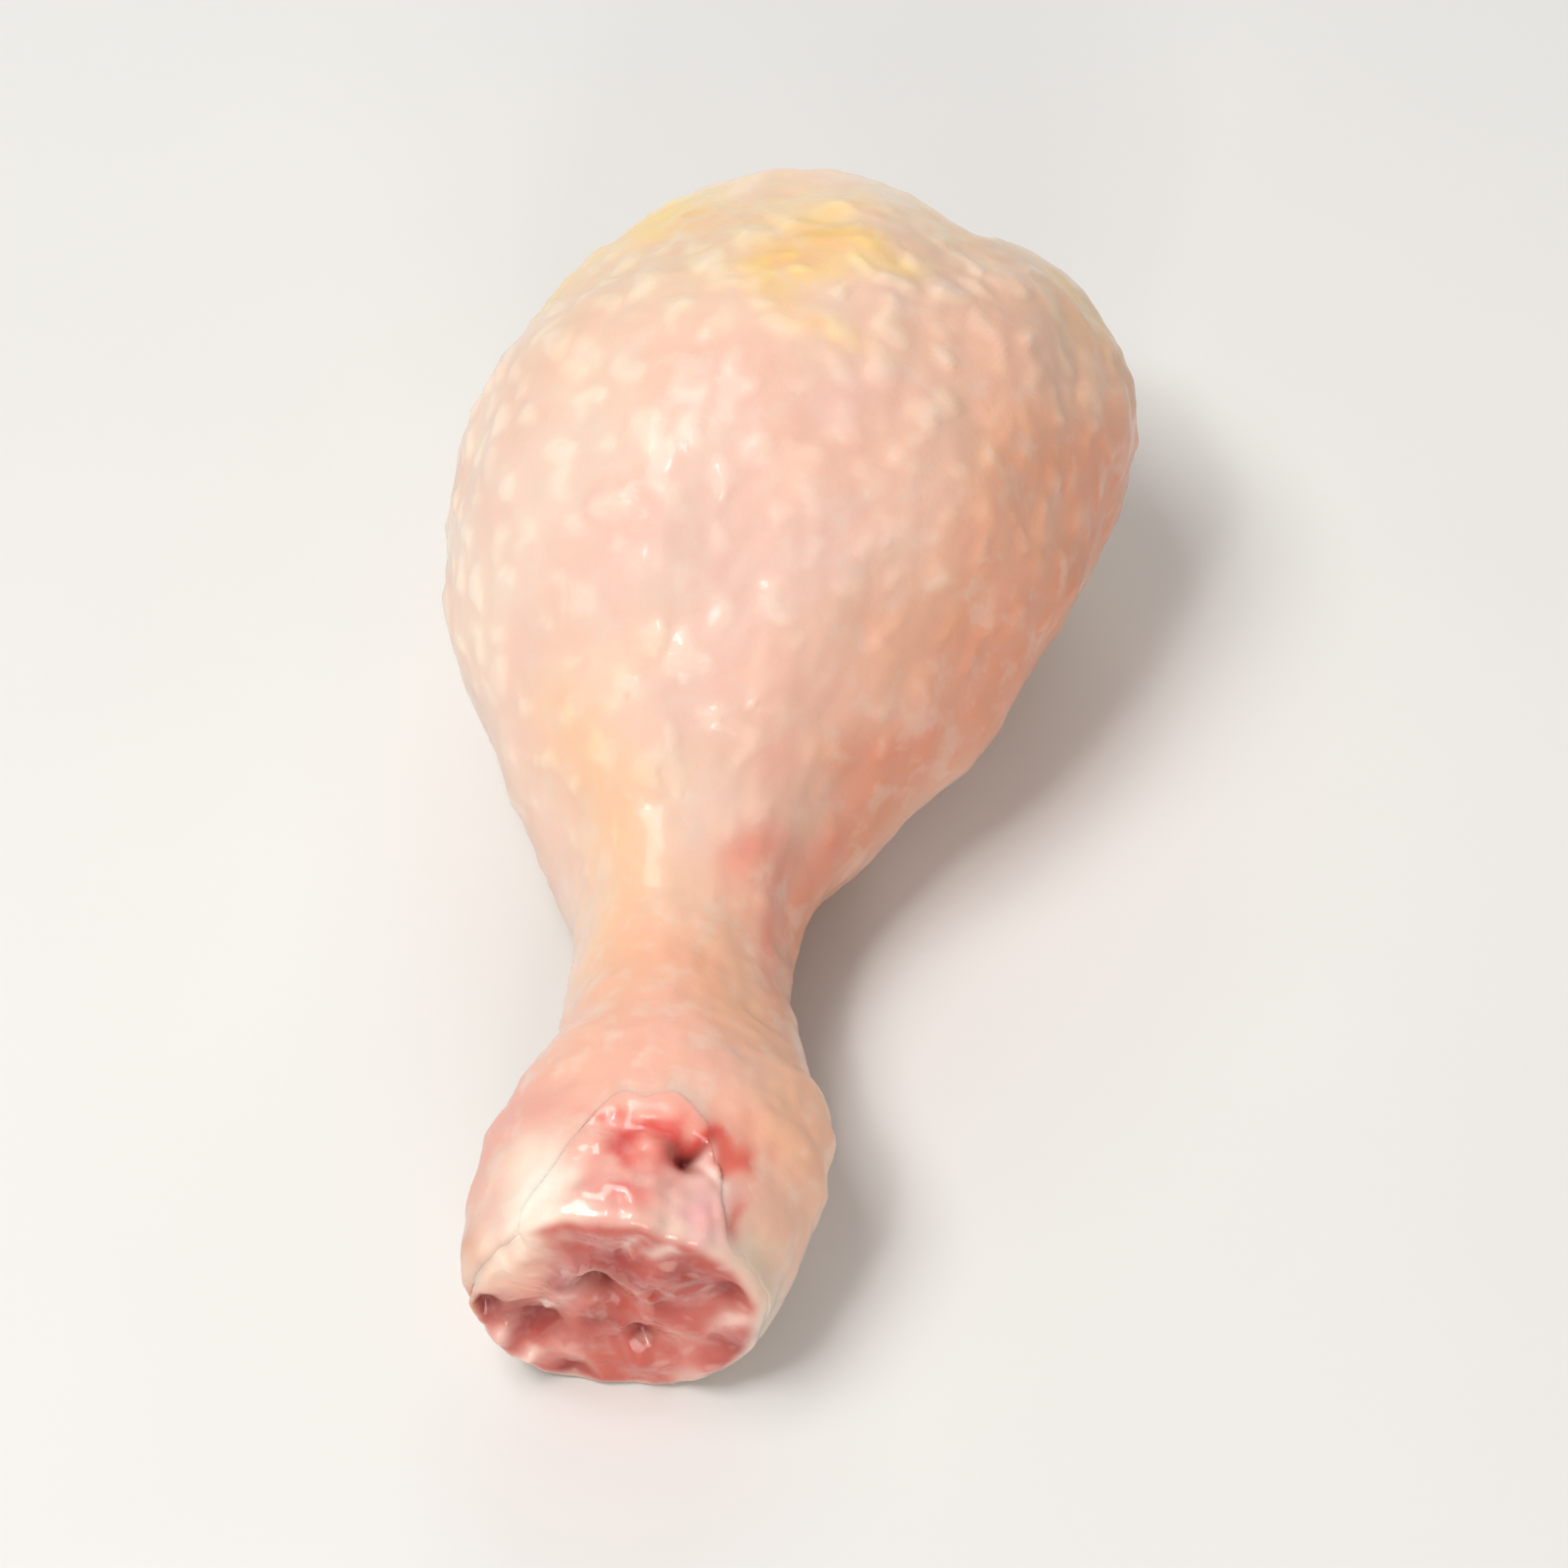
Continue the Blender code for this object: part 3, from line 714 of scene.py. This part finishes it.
FACE_PROUD, ROLL_PROUD, FACE_ROUNDING = 0.0003, 0.0006, 0.0012
TEAR_ROWS_START = 0.1035  # distance along the leg past which the lining's rings stand close together
MOUTH_DEPTH = 0.0004
# The muscles that end at the knee: (angle of the seam beside each, depth of that seam)
MUSCLE_SEAMS = ((20, 0.0016), (86, 0.0013), (148, 0.0011), (214, 0.0015), (300, 0.0012))
# Lumps of fat on the bare flesh: (angle, share of the way out to the skin, reach in degrees, reach, height)
FAT_LUMPS = (
    (112, 0.90, 17, 0.15, 0.0015),
    (134, 0.97, 10, 0.10, 0.0011),
    (94, 0.95, 8, 0.09, 0.0010),
    (74, 0.97, 7, 0.08, 0.0009),
    (226, 0.88, 14, 0.13, 0.0012),
    (250, 0.95, 9, 0.09, 0.0009),
    (12, 0.93, 10, 0.10, 0.0010),
    (166, 0.30, 12, 0.12, 0.0008),
)
# Relief of the wound: (distance along, angle, reach along, reach in degrees, height)
WOUND_RELIEF = (
    (0.1107, 66, 0.0011, 6, -0.0026),
    (0.1094, 80, 0.0008, 20, -0.0006),
    (0.1106, 90, 0.0010, 6, -0.0005),
    (0.1098, 49, 0.0009, 6, -0.0005),
    (0.1110, 57, 0.0007, 4, 0.0007),
    (0.1117, 50, 0.0007, 3.5, 0.0006),
    (0.1144, 54, 0.0017, 10, 0.0005),
    (0.1148, 82, 0.0016, 13, 0.0005),
    (0.1132, 68, 0.0009, 5, -0.0004),
)
FLESH_PINK = srgb(234, 166, 144)
FLESH_RED = srgb(190, 58, 50)
FLESH_BLOOD = srgb(138, 26, 26)
# A near black red for the hole in the cut face: partly blood, partly painted shade in the hole.
FLESH_HOLE_AND_SHADE = srgb(100, 10, 14)
FLESH_WHITE = srgb(252, 218, 204)
CARTILAGE_PINK = srgb(246, 176, 158)
CARTILAGE_CREAM = srgb(248, 190, 162)
CARTILAGE_GREY = srgb(218, 150, 146)
# What tints the cut face, of flesh and bone alike: (place from the left, height, reach, colour, strength)
CUT_TINTS = (
    (-0.0094, 0.0146, 0.0044, srgb(244, 196, 178), 0.97),
    (-0.0068, 0.0126, 0.0028, CARTILAGE_PINK, 0.90),
    (-0.0096, 0.0152, 0.0022, srgb(236, 168, 136), 0.70),
    (-0.0106, 0.0172, 0.0024, SKIN_RIM, 0.90),
    (-0.0072, 0.0196, 0.0020, SKIN_RIM, 0.90),
    (-0.0126, 0.0140, 0.0020, SKIN_RIM, 0.70),
    (-0.0040, 0.0158, 0.0016, CARTILAGE_GREY, 0.85),
    (-0.0052, 0.0116, 0.0013, CARTILAGE_GREY, 0.70),
    (-0.0050, 0.0142, 0.0014, srgb(176, 82, 78), 0.75),
    # The hole: blood red darkened by painted shade.
    (-0.0024, 0.0134, 0.0017, FLESH_HOLE_AND_SHADE, 1.00),
    (-0.0004, 0.0152, 0.0020, FLESH_BLOOD, 0.70),
    (-0.0116, 0.0102, 0.0018, FLESH_BLOOD, 0.97),
    (-0.0078, 0.0086, 0.0022, FLESH_BLOOD, 0.95),
    # The white bits below stand where the cut face glints: partly white tissue, partly painted highlights.
    (-0.0106, 0.0066, 0.0010, FLESH_WHITE, 0.90),
    (-0.0064, 0.0104, 0.0006, FLESH_WHITE, 0.85),
    (-0.0084, 0.0038, 0.0010, FLESH_WHITE, 0.90),
    (-0.0056, 0.0040, 0.0022, CARTILAGE_PINK, 0.75),
    (-0.0052, 0.0012, 0.0016, FLESH_BLOOD, 0.90),
    (-0.0018, 0.0096, 0.0016, FLESH_BLOOD, 0.70),
    (0.0028, 0.0124, 0.0016, FLESH_BLOOD, 0.55),
    (0.0038, 0.0072, 0.0018, CARTILAGE_PINK, 0.60),
    (0.0008, 0.0076, 0.0014, FLESH_BLOOD, 0.80),
    # White along the top edge of the cut face: partly white tissue, partly painted highlights.
    (0.0010, 0.0202, 0.0008, FLESH_WHITE, 0.80),
    (0.0036, 0.0198, 0.0009, FLESH_WHITE, 0.80),
    (0.0050, 0.0166, 0.0024, FLESH_BLOOD, 0.65),
    (-0.0010, 0.0178, 0.0016, FLESH_BLOOD, 0.60),
    (0.0054, 0.0024, 0.0020, FLESH_WHITE, 0.60),
    (0.0086, 0.0104, 0.0014, FLESH_WHITE, 0.70),
    (0.0082, 0.0140, 0.0014, FLESH_BLOOD, 0.80),
    (0.0084, 0.0066, 0.0018, FLESH_BLOOD, 0.60),
)
# Unevenness of the cut face: (length of its waves, height)
CUT_WAVES = ((0.0044, 0.00012), (0.0018, 0.00004), (0.0009, 0.000012))
# Relief of the cut face, likewise: (place from the left, height, reach, how far it stands out)
CUT_RELIEF = (
    (-0.0076, 0.0154, 0.0046, 0.0011),
    (-0.0024, 0.0132, 0.0015, -0.0026),
    (-0.0002, 0.0118, 0.0012, -0.0008),
    (0.0032, 0.0160, 0.0026, 0.0008),
    (0.0034, 0.0098, 0.0022, 0.0008),
    (0.0008, 0.0074, 0.0012, -0.0009),
    (-0.0076, 0.0086, 0.0016, -0.0010),
    (-0.0042, 0.0064, 0.0020, 0.0008),
    (-0.0116, 0.0104, 0.0014, -0.0011),
    (-0.0104, 0.0064, 0.0011, 0.0009),
    (-0.0084, 0.0036, 0.0010, 0.0009),
    (-0.0050, 0.0014, 0.0014, -0.0008),
    (0.0004, 0.0040, 0.0018, 0.0007),
    (0.0066, 0.0044, 0.0020, 0.0006),
    (0.0084, 0.0140, 0.0016, -0.0009),
    (-0.0067, 0.0098, 0.0005, 0.0004),
    (-0.0060, 0.0112, 0.0004, 0.0003),
    (-0.0098, 0.0078, 0.0005, 0.0004),
    (-0.0034, 0.0154, 0.0006, 0.0004),
    (0.0012, 0.0186, 0.0006, 0.0004),
    (0.0022, 0.0130, 0.0005, 0.0003),
    (-0.0004, 0.0090, 0.0005, 0.0004),
    (0.0062, 0.0090, 0.0006, 0.0004),
    (-0.0070, 0.0050, 0.0005, 0.0003),
)
# The leg bone: (distance along, half-width, half-height), and the line that it follows: (distance, x, z)
BONE_START, BONE_END = 0.0008, 0.1172
BONE_SIZES = (
    (0.0008, 0.0088, 0.0070),
    (0.0080, 0.0096, 0.0076),
    (0.0170, 0.0070, 0.0062),
    (0.0300, 0.0043, 0.0041),
    (0.0600, 0.0034, 0.0032),
    (0.0860, 0.0037, 0.0034),
    (0.0980, 0.0052, 0.0050),
    (0.1080, 0.0074, 0.0078),
    (0.1172, 0.0078, 0.0080),
)
BONE_LINE = (
    (0.000, -0.0038, 0.0168),
    (0.026, 0.0006, 0.0206),
    (0.070, -0.0004, 0.0150),
    (0.118, -0.0008, 0.0114),
)
KNEE_HEAD_ROUNDING, HOCK_HEAD_ROUNDING = 0.0055, 0.0024
KNUCKLE_GROOVE, KNUCKLE_GROOVE_ANGLE, KNUCKLE_START = 0.18, 98, (0.0045, 0.0075)


def bone_at(along, angle, clearance):
    """Points on the bone: an oval whose half-width and half-height follow two splines, rounded off at both
    heads as a quarter circle, with a groove between the knuckles where it is thick."""
    places, *sizes = np.array(BONE_SIZES).T
    wide, tall = (smooth_through(places, size, along) for size in sizes)
    ends = ((KNEE_HEAD_ROUNDING, along - BONE_START), (HOCK_HEAD_ROUNDING, BONE_END - along))
    for rounding, inwards in ends:
        rounded = np.sqrt(1 - (1 - np.clip(inwards / rounding, 0, 1)) ** 2)
        wide, tall = wide * rounded, tall * rounded
    knuckles = smooth_step(tall, *KNUCKLE_START)
    groove = 1 - KNUCKLE_GROOVE * knuckles * np.cos(angle - math.radians(KNUCKLE_GROOVE_ANGLE)) ** 8
    places, sideways, height = np.array(BONE_LINE).T
    x = AXIS_X + smooth_through(places, sideways, along) + (wide * groove + clearance) * np.cos(angle)
    z = smooth_through(places, height, along) + (tall * groove + clearance) * np.sin(angle)
    return np.stack([x, TIP_Y - along + 0 * angle, z], axis=-1)


def face_bell(points, left, high, reach):
    """A bell curve round a place on the cut face."""
    return np.exp(-((points[..., 0] - left) ** 2 + (points[..., 2] - high) ** 2) / reach**2)


def painted_face(points):
    """Raw red, drawn towards each tint's colour by its bell curve across the cut face, some of them painted
    highlights and painted shade, with white flecks that are partly painted glints.
    """
    drifted = points + unevenness(points * (1, 0, 1), 0.0035, 0.0004, 84)[..., None]
    colour = FLESH_PINK * 0.25 + FLESH_RED * 0.75
    for *place, tint, strength in CUT_TINTS:
        colour = drawn(colour, tint, strength * face_bell(drifted, *place))
    # White flecks: partly white tissue, partly painted glints.
    flecks_and_glints = smooth_step(unevenness(points * (0.6, 0, 1.2), 0.0019, 1.0, 85), 0.9, 2.4)
    return drawn(colour, FLESH_WHITE, 0.25 * flecks_and_glints)


def face_relief(points):
    """How far the cut face stands out: a bell curve for each of its lumps and hollows, and unevenness."""
    across = points * (1, 0, 1)
    relief = sum(unevenness(across, length, height, 71) for length, height in CUT_WAVES)
    for *place, height in CUT_RELIEF:
        relief = relief + height * face_bell(points, *place)
    return relief


def make_flesh_material():
    """Raw flesh: the painted tint with paler fibres along the leg, mottled and wet."""
    material = new_material("raw_flesh")
    tree = material.node_tree
    colour = mottled(material, FLESH_RED, read_mask(tree, "raw", 0.35), FLESH_WHITE, 0.14)
    colour = mixed(tree, read_mask(tree, "fibre", 0.30), colour, FLESH_WHITE)
    add_surface(
        material, colour, scatter=0.25, scatter_size=0.0012, bump=0.000015,
        dry=0.38, wet=0.26, film=0.95, gloss=0.06, creases=0.8,
    )
    return material


def make_flesh():
    """The dome of muscles round the bone's head, the lining under the skin, the cut face and the mouth round
    the bone, as one grid of rings that runs back inside itself."""
    angle = ring_angles(FLESH_COLUMNS)
    knee = knee_edge(angle)
    rolled = fat_roll(angle) * (1 - torn(angle))
    hock_end = hock_cut(angle, 0) + FACE_PROUD + ROLL_PROUD * rolled + ragged(angle, 0.00005, 14)
    turn = leg_turns(FLESH_ROWS, knee, hock_end)
    split = int(np.argmax(turn[:, 0] > turn_at(TEAR_ROWS_START)))
    kept = np.concatenate([
        np.round(np.linspace(0, split, LEG_LINING_ROWS + 1)[:-1]).astype(int),
        np.round(np.linspace(split, FLESH_ROWS - 1, TEAR_LINING_ROWS)).astype(int),
    ])
    outside = outside_at(turn, angle + 0 * turn)
    normals = outward_normals(outside)[kept]
    outside, turn = outside[kept], turn[kept]
    along = along_at(turn)
    past_the_edge = along - hock_edge(angle)
    gap = LINING_GAP + (EDGE_GAP - LINING_GAP) * smooth_step(past_the_edge, -0.0012, -0.0002)
    gap += HIDDEN_GAP * smooth_step(along, 0.010, 0.018) * (1 - smooth_step(past_the_edge, -0.0060, -0.0015))
    thick = skin_depth(along, angle)
    film = membrane(angle)
    lap = LAP * film
    risen = smooth_step(past_the_edge, -0.0005 - 0.0002 * film, 0.0001 - 0.0003 * film)
    depth = (thick + gap + lap) * (1 - risen) - lap * (1 - smooth_step(past_the_edge, 0.0004, 0.0014))
    under_roll = thick * (1 - 0.4 * smooth_step(past_the_edge, 0.0002, 0.0008)) + EDGE_GAP
    at_roll = smooth_step(past_the_edge, -0.0006, 0.0) * smooth_step(rolled, 0.1, 0.6)
    depth = depth + (under_roll - depth) * at_roll * smooth_step(thick, 0.0006, 0.0014)
    relief = skin_relief(outside) * smooth_step(outside[..., 2], *RESTING)
    for *place, height in WOUND_RELIEF:
        relief += height * leg_bell(along, angle, *place)
    bare = smooth_step(past_the_edge, 0.0, 0.0015)
    relief += bare * (unevenness(outside, 0.0036, 0.00010, 51) + unevenness(outside, 0.0014, 0.00004, 52))
    lining = outside + (relief - depth)[..., None] * normals
    lining[..., 2] = np.maximum(lining[..., 2], 0.00002)

    share = np.linspace(0, 1, DOME_ROWS + 1)[:-1, None]
    lip_along = DOME_START + DOME_SLOPE * (TIP_Y - lining[0, :, 1])
    lip = bone_at(lip_along[None], angle, DOME_CLEARANCE)[0]
    dome = lip + (lining[0] - lip) * share[..., None]
    width = np.linalg.norm(lining[0] - lip, axis=-1)
    swell = DOME_BULGE * width * np.sin(math.pi * share**0.8) ** 1.3 + 0 * angle
    across = np.sin(math.pi * np.clip(share * 1.05, 0, 1)) ** 0.7
    for seam, seam_depth in MUSCLE_SEAMS:
        wander = 8 * np.sin(5 * share + seam)
        swell -= seam_depth * across * np.exp(-((turn_from(angle, seam) + wander) / 6.5) ** 2)
    fat = np.zeros_like(swell)
    for direction, out, reach_round, reach_out, height in FAT_LUMPS:
        lump = np.exp(-((turn_from(angle, direction) / reach_round) ** 2) - ((share - out) / reach_out) ** 2)
        swell += height * lump * smooth_step(1 - share, 0, 0.06)
        fat = np.maximum(fat, lump)
    cuff_waves = 1 + 0.45 * np.sin(3 * angle + 1) + 0.3 * np.sin(7 * angle)
    cuff = np.exp(-(((share - 0.03) / 0.06) ** 2)) * cuff_waves
    swell += CUFF_HEIGHT * cuff
    fade = np.sin(math.pi * share) ** 0.5
    swell += fade * (unevenness(dome, 0.0070, 0.00040, 61) + unevenness(dome, 0.0022, 0.00012, 62))
    swell += fade * 0.00006 * np.sin(96 * angle + 9 * unevenness(dome, 0.010, 0.5, 63)) * (1 - fat)
    dome[..., 1] += swell

    mouth_along = BONE_END - MOUTH_DEPTH - np.abs(ragged(angle, 0.0001, 15))
    mouth = bone_at(mouth_along, angle, -0.0004)[0]
    share = np.linspace(0, 1, FACE_ROWS + 2)[1:-1, None]
    face = lining[-1] + (mouth - lining[-1]) * (share**1.15)[..., None]
    ahead = FACE_ROUNDING * (1 - np.exp(-share / 0.10)) * (1 - share) ** 1.2 * (1 - rolled)
    ahead += smooth_step(share, 0.0, 0.25) * face_relief(face)
    face[..., 1] -= ahead
    inwards = BONE_END - 0.0024 - np.linspace(0.0006, 0.006, TUNNEL_ROWS)[:, None]
    tunnel_hock = bone_at(inwards, angle, -0.0006)
    middle = np.linspace(0.105, 0.014, 8)[:, None]
    tunnel = bone_at(middle, angle, 0.0005)
    tunnel_knee = bone_at(lip_along + np.linspace(0.006, 0.0008, 5)[:, None], angle, 0.0005)

    # Whitish patches of silver skin on the bare flesh, partly a painted sheen.
    silver_skin_and_sheen = smooth_step(unevenness(dome, 0.011, 1.0, 81), 0.2, 1.6)
    blood = smooth_step(unevenness(dome, 0.009, 1.0, 83), 0.6, 1.8)
    dome_tint = drawn(FLESH_PINK, FLESH_WHITE, 0.5 * silver_skin_and_sheen)
    dome_tint = drawn(dome_tint, SKIN_FAT * 0.75 + SKIN_RIM * 0.25, smooth_step(fat, 0.25, 0.7))
    dome_tint = drawn(dome_tint, FLESH_BLOOD, 0.30 * blood)
    dome_tint = drawn(dome_tint, FLESH_WHITE, 0.75 * np.clip(cuff, 0, 1))
    lining_tint = painted_outside(outside, along, angle)
    face_tint = drawn(lining_tint[-1], painted_face(face), smooth_step(share, 0.02, 0.20))
    hidden = np.concatenate([tunnel_hock, tunnel, tunnel_knee])
    rings = np.concatenate([dome, lining, face, hidden])
    hidden_tint = np.broadcast_to(FLESH_RED, hidden.shape)
    colour = np.concatenate([dome_tint, lining_tint, face_tint, hidden_tint])
    fibre = np.zeros(rings.shape[:2])
    streaks = unevenness(dome * (1, 0.2, 1), 0.0011, 0.6, 91)
    fibre[:DOME_ROWS] = smooth_step(streaks, 0.2, 1.0) * (1 - smooth_step(fat, 0.25, 0.6))
    raw = np.ones(rings.shape[:2])
    raw[DOME_ROWS : DOME_ROWS + len(lining)] = 0
    masks = {"fibre": fibre, "raw": raw}
    piece = grid_piece("drumstick_flesh", rings, True, colour, masks, make_flesh_material())
    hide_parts("flesh")


make_flesh()


# The leg bone: it runs through the flesh from the knee, where its broad head is capped with pearly cartilage,
# to the hock, where the cut went through the joint and left a knuckle of cartilage beside torn red tissue.
BONE_COLUMNS = 256
KNEE_HEAD_ROWS, SHAFT_ROWS, HOCK_HEAD_ROWS = 54, 40, 90
BONE_PEARL = srgb(246, 222, 214)
BONE_BLUSH = srgb(224, 134, 124)
# Relief of the knee end: (place from the left, height, reach to the side, reach up, how far it stands out)
KNEE_RELIEF = (
    (-0.0056, 0.0190, 0.0016, 0.0060, -0.0013),
    (-0.0094, 0.0172, 0.0034, 0.0044, 0.0006),
    (-0.0012, 0.0170, 0.0034, 0.0042, 0.0005),
    (-0.0050, 0.0118, 0.0030, 0.0016, -0.0006),
)


def make_bone_material():
    """Cartilage: the painted tint with faint blotches, very wet and a little translucent."""
    material = new_material("raw_cartilage")
    colour = mottled(material, CARTILAGE_PINK, 0.22, BONE_PEARL, 0.22)
    add_surface(
        material, colour, scatter=0.25, scatter_size=0.0014, bump=0.000015,
        dry=0.36, wet=0.24, film=0.95, gloss=0.06, creases=1.0,
    )
    return material


def make_bone():
    """The bone as rings along its line, close together over both heads, with the relief of both its ends."""
    angle = ring_angles(BONE_COLUMNS)
    knee_quarter = np.linspace(0.02, math.pi / 2, KNEE_HEAD_ROWS)[:, None]
    hock_quarter = np.linspace(math.pi / 2, 0.02, HOCK_HEAD_ROWS)[:, None]
    knee = BONE_START + KNEE_HEAD_ROUNDING * (1 - np.cos(knee_quarter))
    hock = BONE_END - HOCK_HEAD_ROUNDING * (1 - np.cos(hock_quarter))
    shaft = np.linspace(knee[-1], hock[0], SHAFT_ROWS + 2)[1:-1]
    rings = bone_at(np.concatenate([knee, shaft, hock]), angle, 0.0)
    at_hock = smooth_step(-rings[..., 1], 0.0545, 0.0566)
    at_knee = smooth_step(rings[..., 1], 0.0520, 0.0570)
    blotches = smooth_step(unevenness(rings, 0.0050, 1.0, 105), 0.2, 1.6)
    edge_on = smooth_step(-rings[..., 1], -0.0586, -0.0545) * 0.75 + 0.25 * blotches
    tint = drawn(drawn(BONE_PEARL, BONE_BLUSH, edge_on), painted_face(rings), at_hock)
    rings[..., 1] -= at_hock * face_relief(rings)
    stands_out = unevenness(rings, 0.0075, 0.00020, 104)
    for left, high, wide, tall, height in KNEE_RELIEF:
        away = ((rings[..., 0] - left) / wide) ** 2 + ((rings[..., 2] - high) / tall) ** 2
        stands_out = stands_out + height * np.exp(-away)
    rings[..., 1] += at_knee * stands_out
    piece = grid_piece("drumstick_bone", rings, False, tint, {}, make_bone_material())
    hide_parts("bone")


make_bone()


# The floor: a plain pale surface that runs up into a plain backdrop, with soft daylight from the upper left.
FLOOR_HALF_WIDTH, FLOOR_FRONT, FLOOR_BACK, BACKDROP_HEIGHT, FLOOR_CURVE = 1.6, -1.4, 1.5, 1.6, 0.5
PALE_FLOOR = srgb(232, 232, 230)
LIGHT_AIM = (0, 0, 0.02)
SKY_COLOUR, SKY_STRENGTH = (1.0, 0.98, 0.96), 0.34
# Lights: (place, size, power, colour)
LIGHTS = (
    ((-0.24, -0.12, 0.72), 0.36, 3.3, (1.0, 0.985, 0.96)),
    ((-0.16, -0.30, 0.66), 0.09, 0.7, (1.0, 0.99, 0.98)),
    ((0.16, -0.78, 0.26), 0.26, 1.25, (1.0, 0.95, 0.90)),
    ((0.06, -0.70, 0.34), 0.08, 0.45, (1.0, 0.98, 0.96)),
    ((-0.05, 0.75, 0.50), 0.60, 1.2, (1.0, 0.98, 0.96)),
)


def make_floor():
    """A strip carried along a path: flat, then a quarter circle, then straight up."""
    bend = np.linspace(0, math.pi / 2, 24)
    curved = FLOOR_BACK + FLOOR_CURVE * np.sin(bend)
    back = np.concatenate([[FLOOR_FRONT], curved, [FLOOR_BACK + FLOOR_CURVE]])
    high = np.concatenate([[0.0], FLOOR_CURVE * (1 - np.cos(bend)), [BACKDROP_HEIGHT]])
    sides = np.array([-FLOOR_HALF_WIDTH, FLOOR_HALF_WIDTH])[:, None] + 0 * back
    points = np.stack([sides, back + 0 * sides, high + 0 * sides], axis=-1).reshape(-1, 3)
    count = len(back)
    first = np.arange(count - 1)
    faces = np.stack([first, first + count, first + count + 1, first + 1], axis=-1)
    mesh = bpy.data.meshes.new("floor")
    mesh.from_pydata(points.tolist(), [], faces.tolist())
    mesh.shade_smooth()
    material = new_material("pale_floor")
    tree = material.node_tree
    shader = tree.nodes["Principled BSDF"]
    clouded = ramp(tree, scaled_noise(tree, object_place(tree), 9, 3), 0.3, 0.7)
    feed(shader.inputs["Base Color"], mixed(tree, clouded, PALE_FLOOR, PALE_FLOOR * 0.97))
    shader.inputs["Roughness"].default_value = 0.7
    mesh.materials.append(material)
    floor = bpy.data.objects.new("floor", mesh)
    bpy.context.collection.objects.link(floor)


def make_lights():
    """Square lights that face the leg, three large and soft and two small for glints, and an even sky."""
    for i, (place, size, power, colour) in enumerate(LIGHTS):
        light = bpy.data.lights.new(f"soft_light_{i}", "AREA")
        light.shape = "SQUARE"
        light.size = size
        light.energy = power
        light.color = colour
        lamp = bpy.data.objects.new(light.name, light)
        lamp.location = place
        lamp.rotation_euler = (Vector(LIGHT_AIM) - Vector(place)).to_track_quat("-Z", "Y").to_euler()
        bpy.context.collection.objects.link(lamp)
    world = bpy.data.worlds.new("pale_sky")
    world.use_nodes = True
    sky = world.node_tree.nodes["Background"]
    feed(sky.inputs["Color"], SKY_COLOUR)
    feed(sky.inputs["Strength"], SKY_STRENGTH)
    bpy.context.scene.world = world


make_floor()
make_lights()


# The camera: where the photograph was taken from, turned to the middle of the leg.
CAMERA_PLACE = (0.0680, -0.2795, 0.3490)
CAMERA_AIM = (0.0039, -0.0061, 0.0155)
CAMERA_ROLL = -4.3  # degrees, which the turn away from the middle of the photograph brings
LENS, SENSOR_WIDTH = 118.0, 36.0

camera_data = bpy.data.cameras.new("camera")
camera_data.lens = LENS
camera_data.sensor_width = SENSOR_WIDTH
camera = bpy.data.objects.new("camera", camera_data)
camera.location = CAMERA_PLACE
aimed = (Vector(CAMERA_AIM) - Vector(CAMERA_PLACE)).to_track_quat("-Z", "Y")
camera.rotation_euler = (aimed @ Quaternion((0, 0, 1), math.radians(CAMERA_ROLL))).to_euler()
bpy.context.collection.objects.link(camera)
bpy.context.scene.camera = camera
bpy.context.scene.view_settings.view_transform = "Standard"
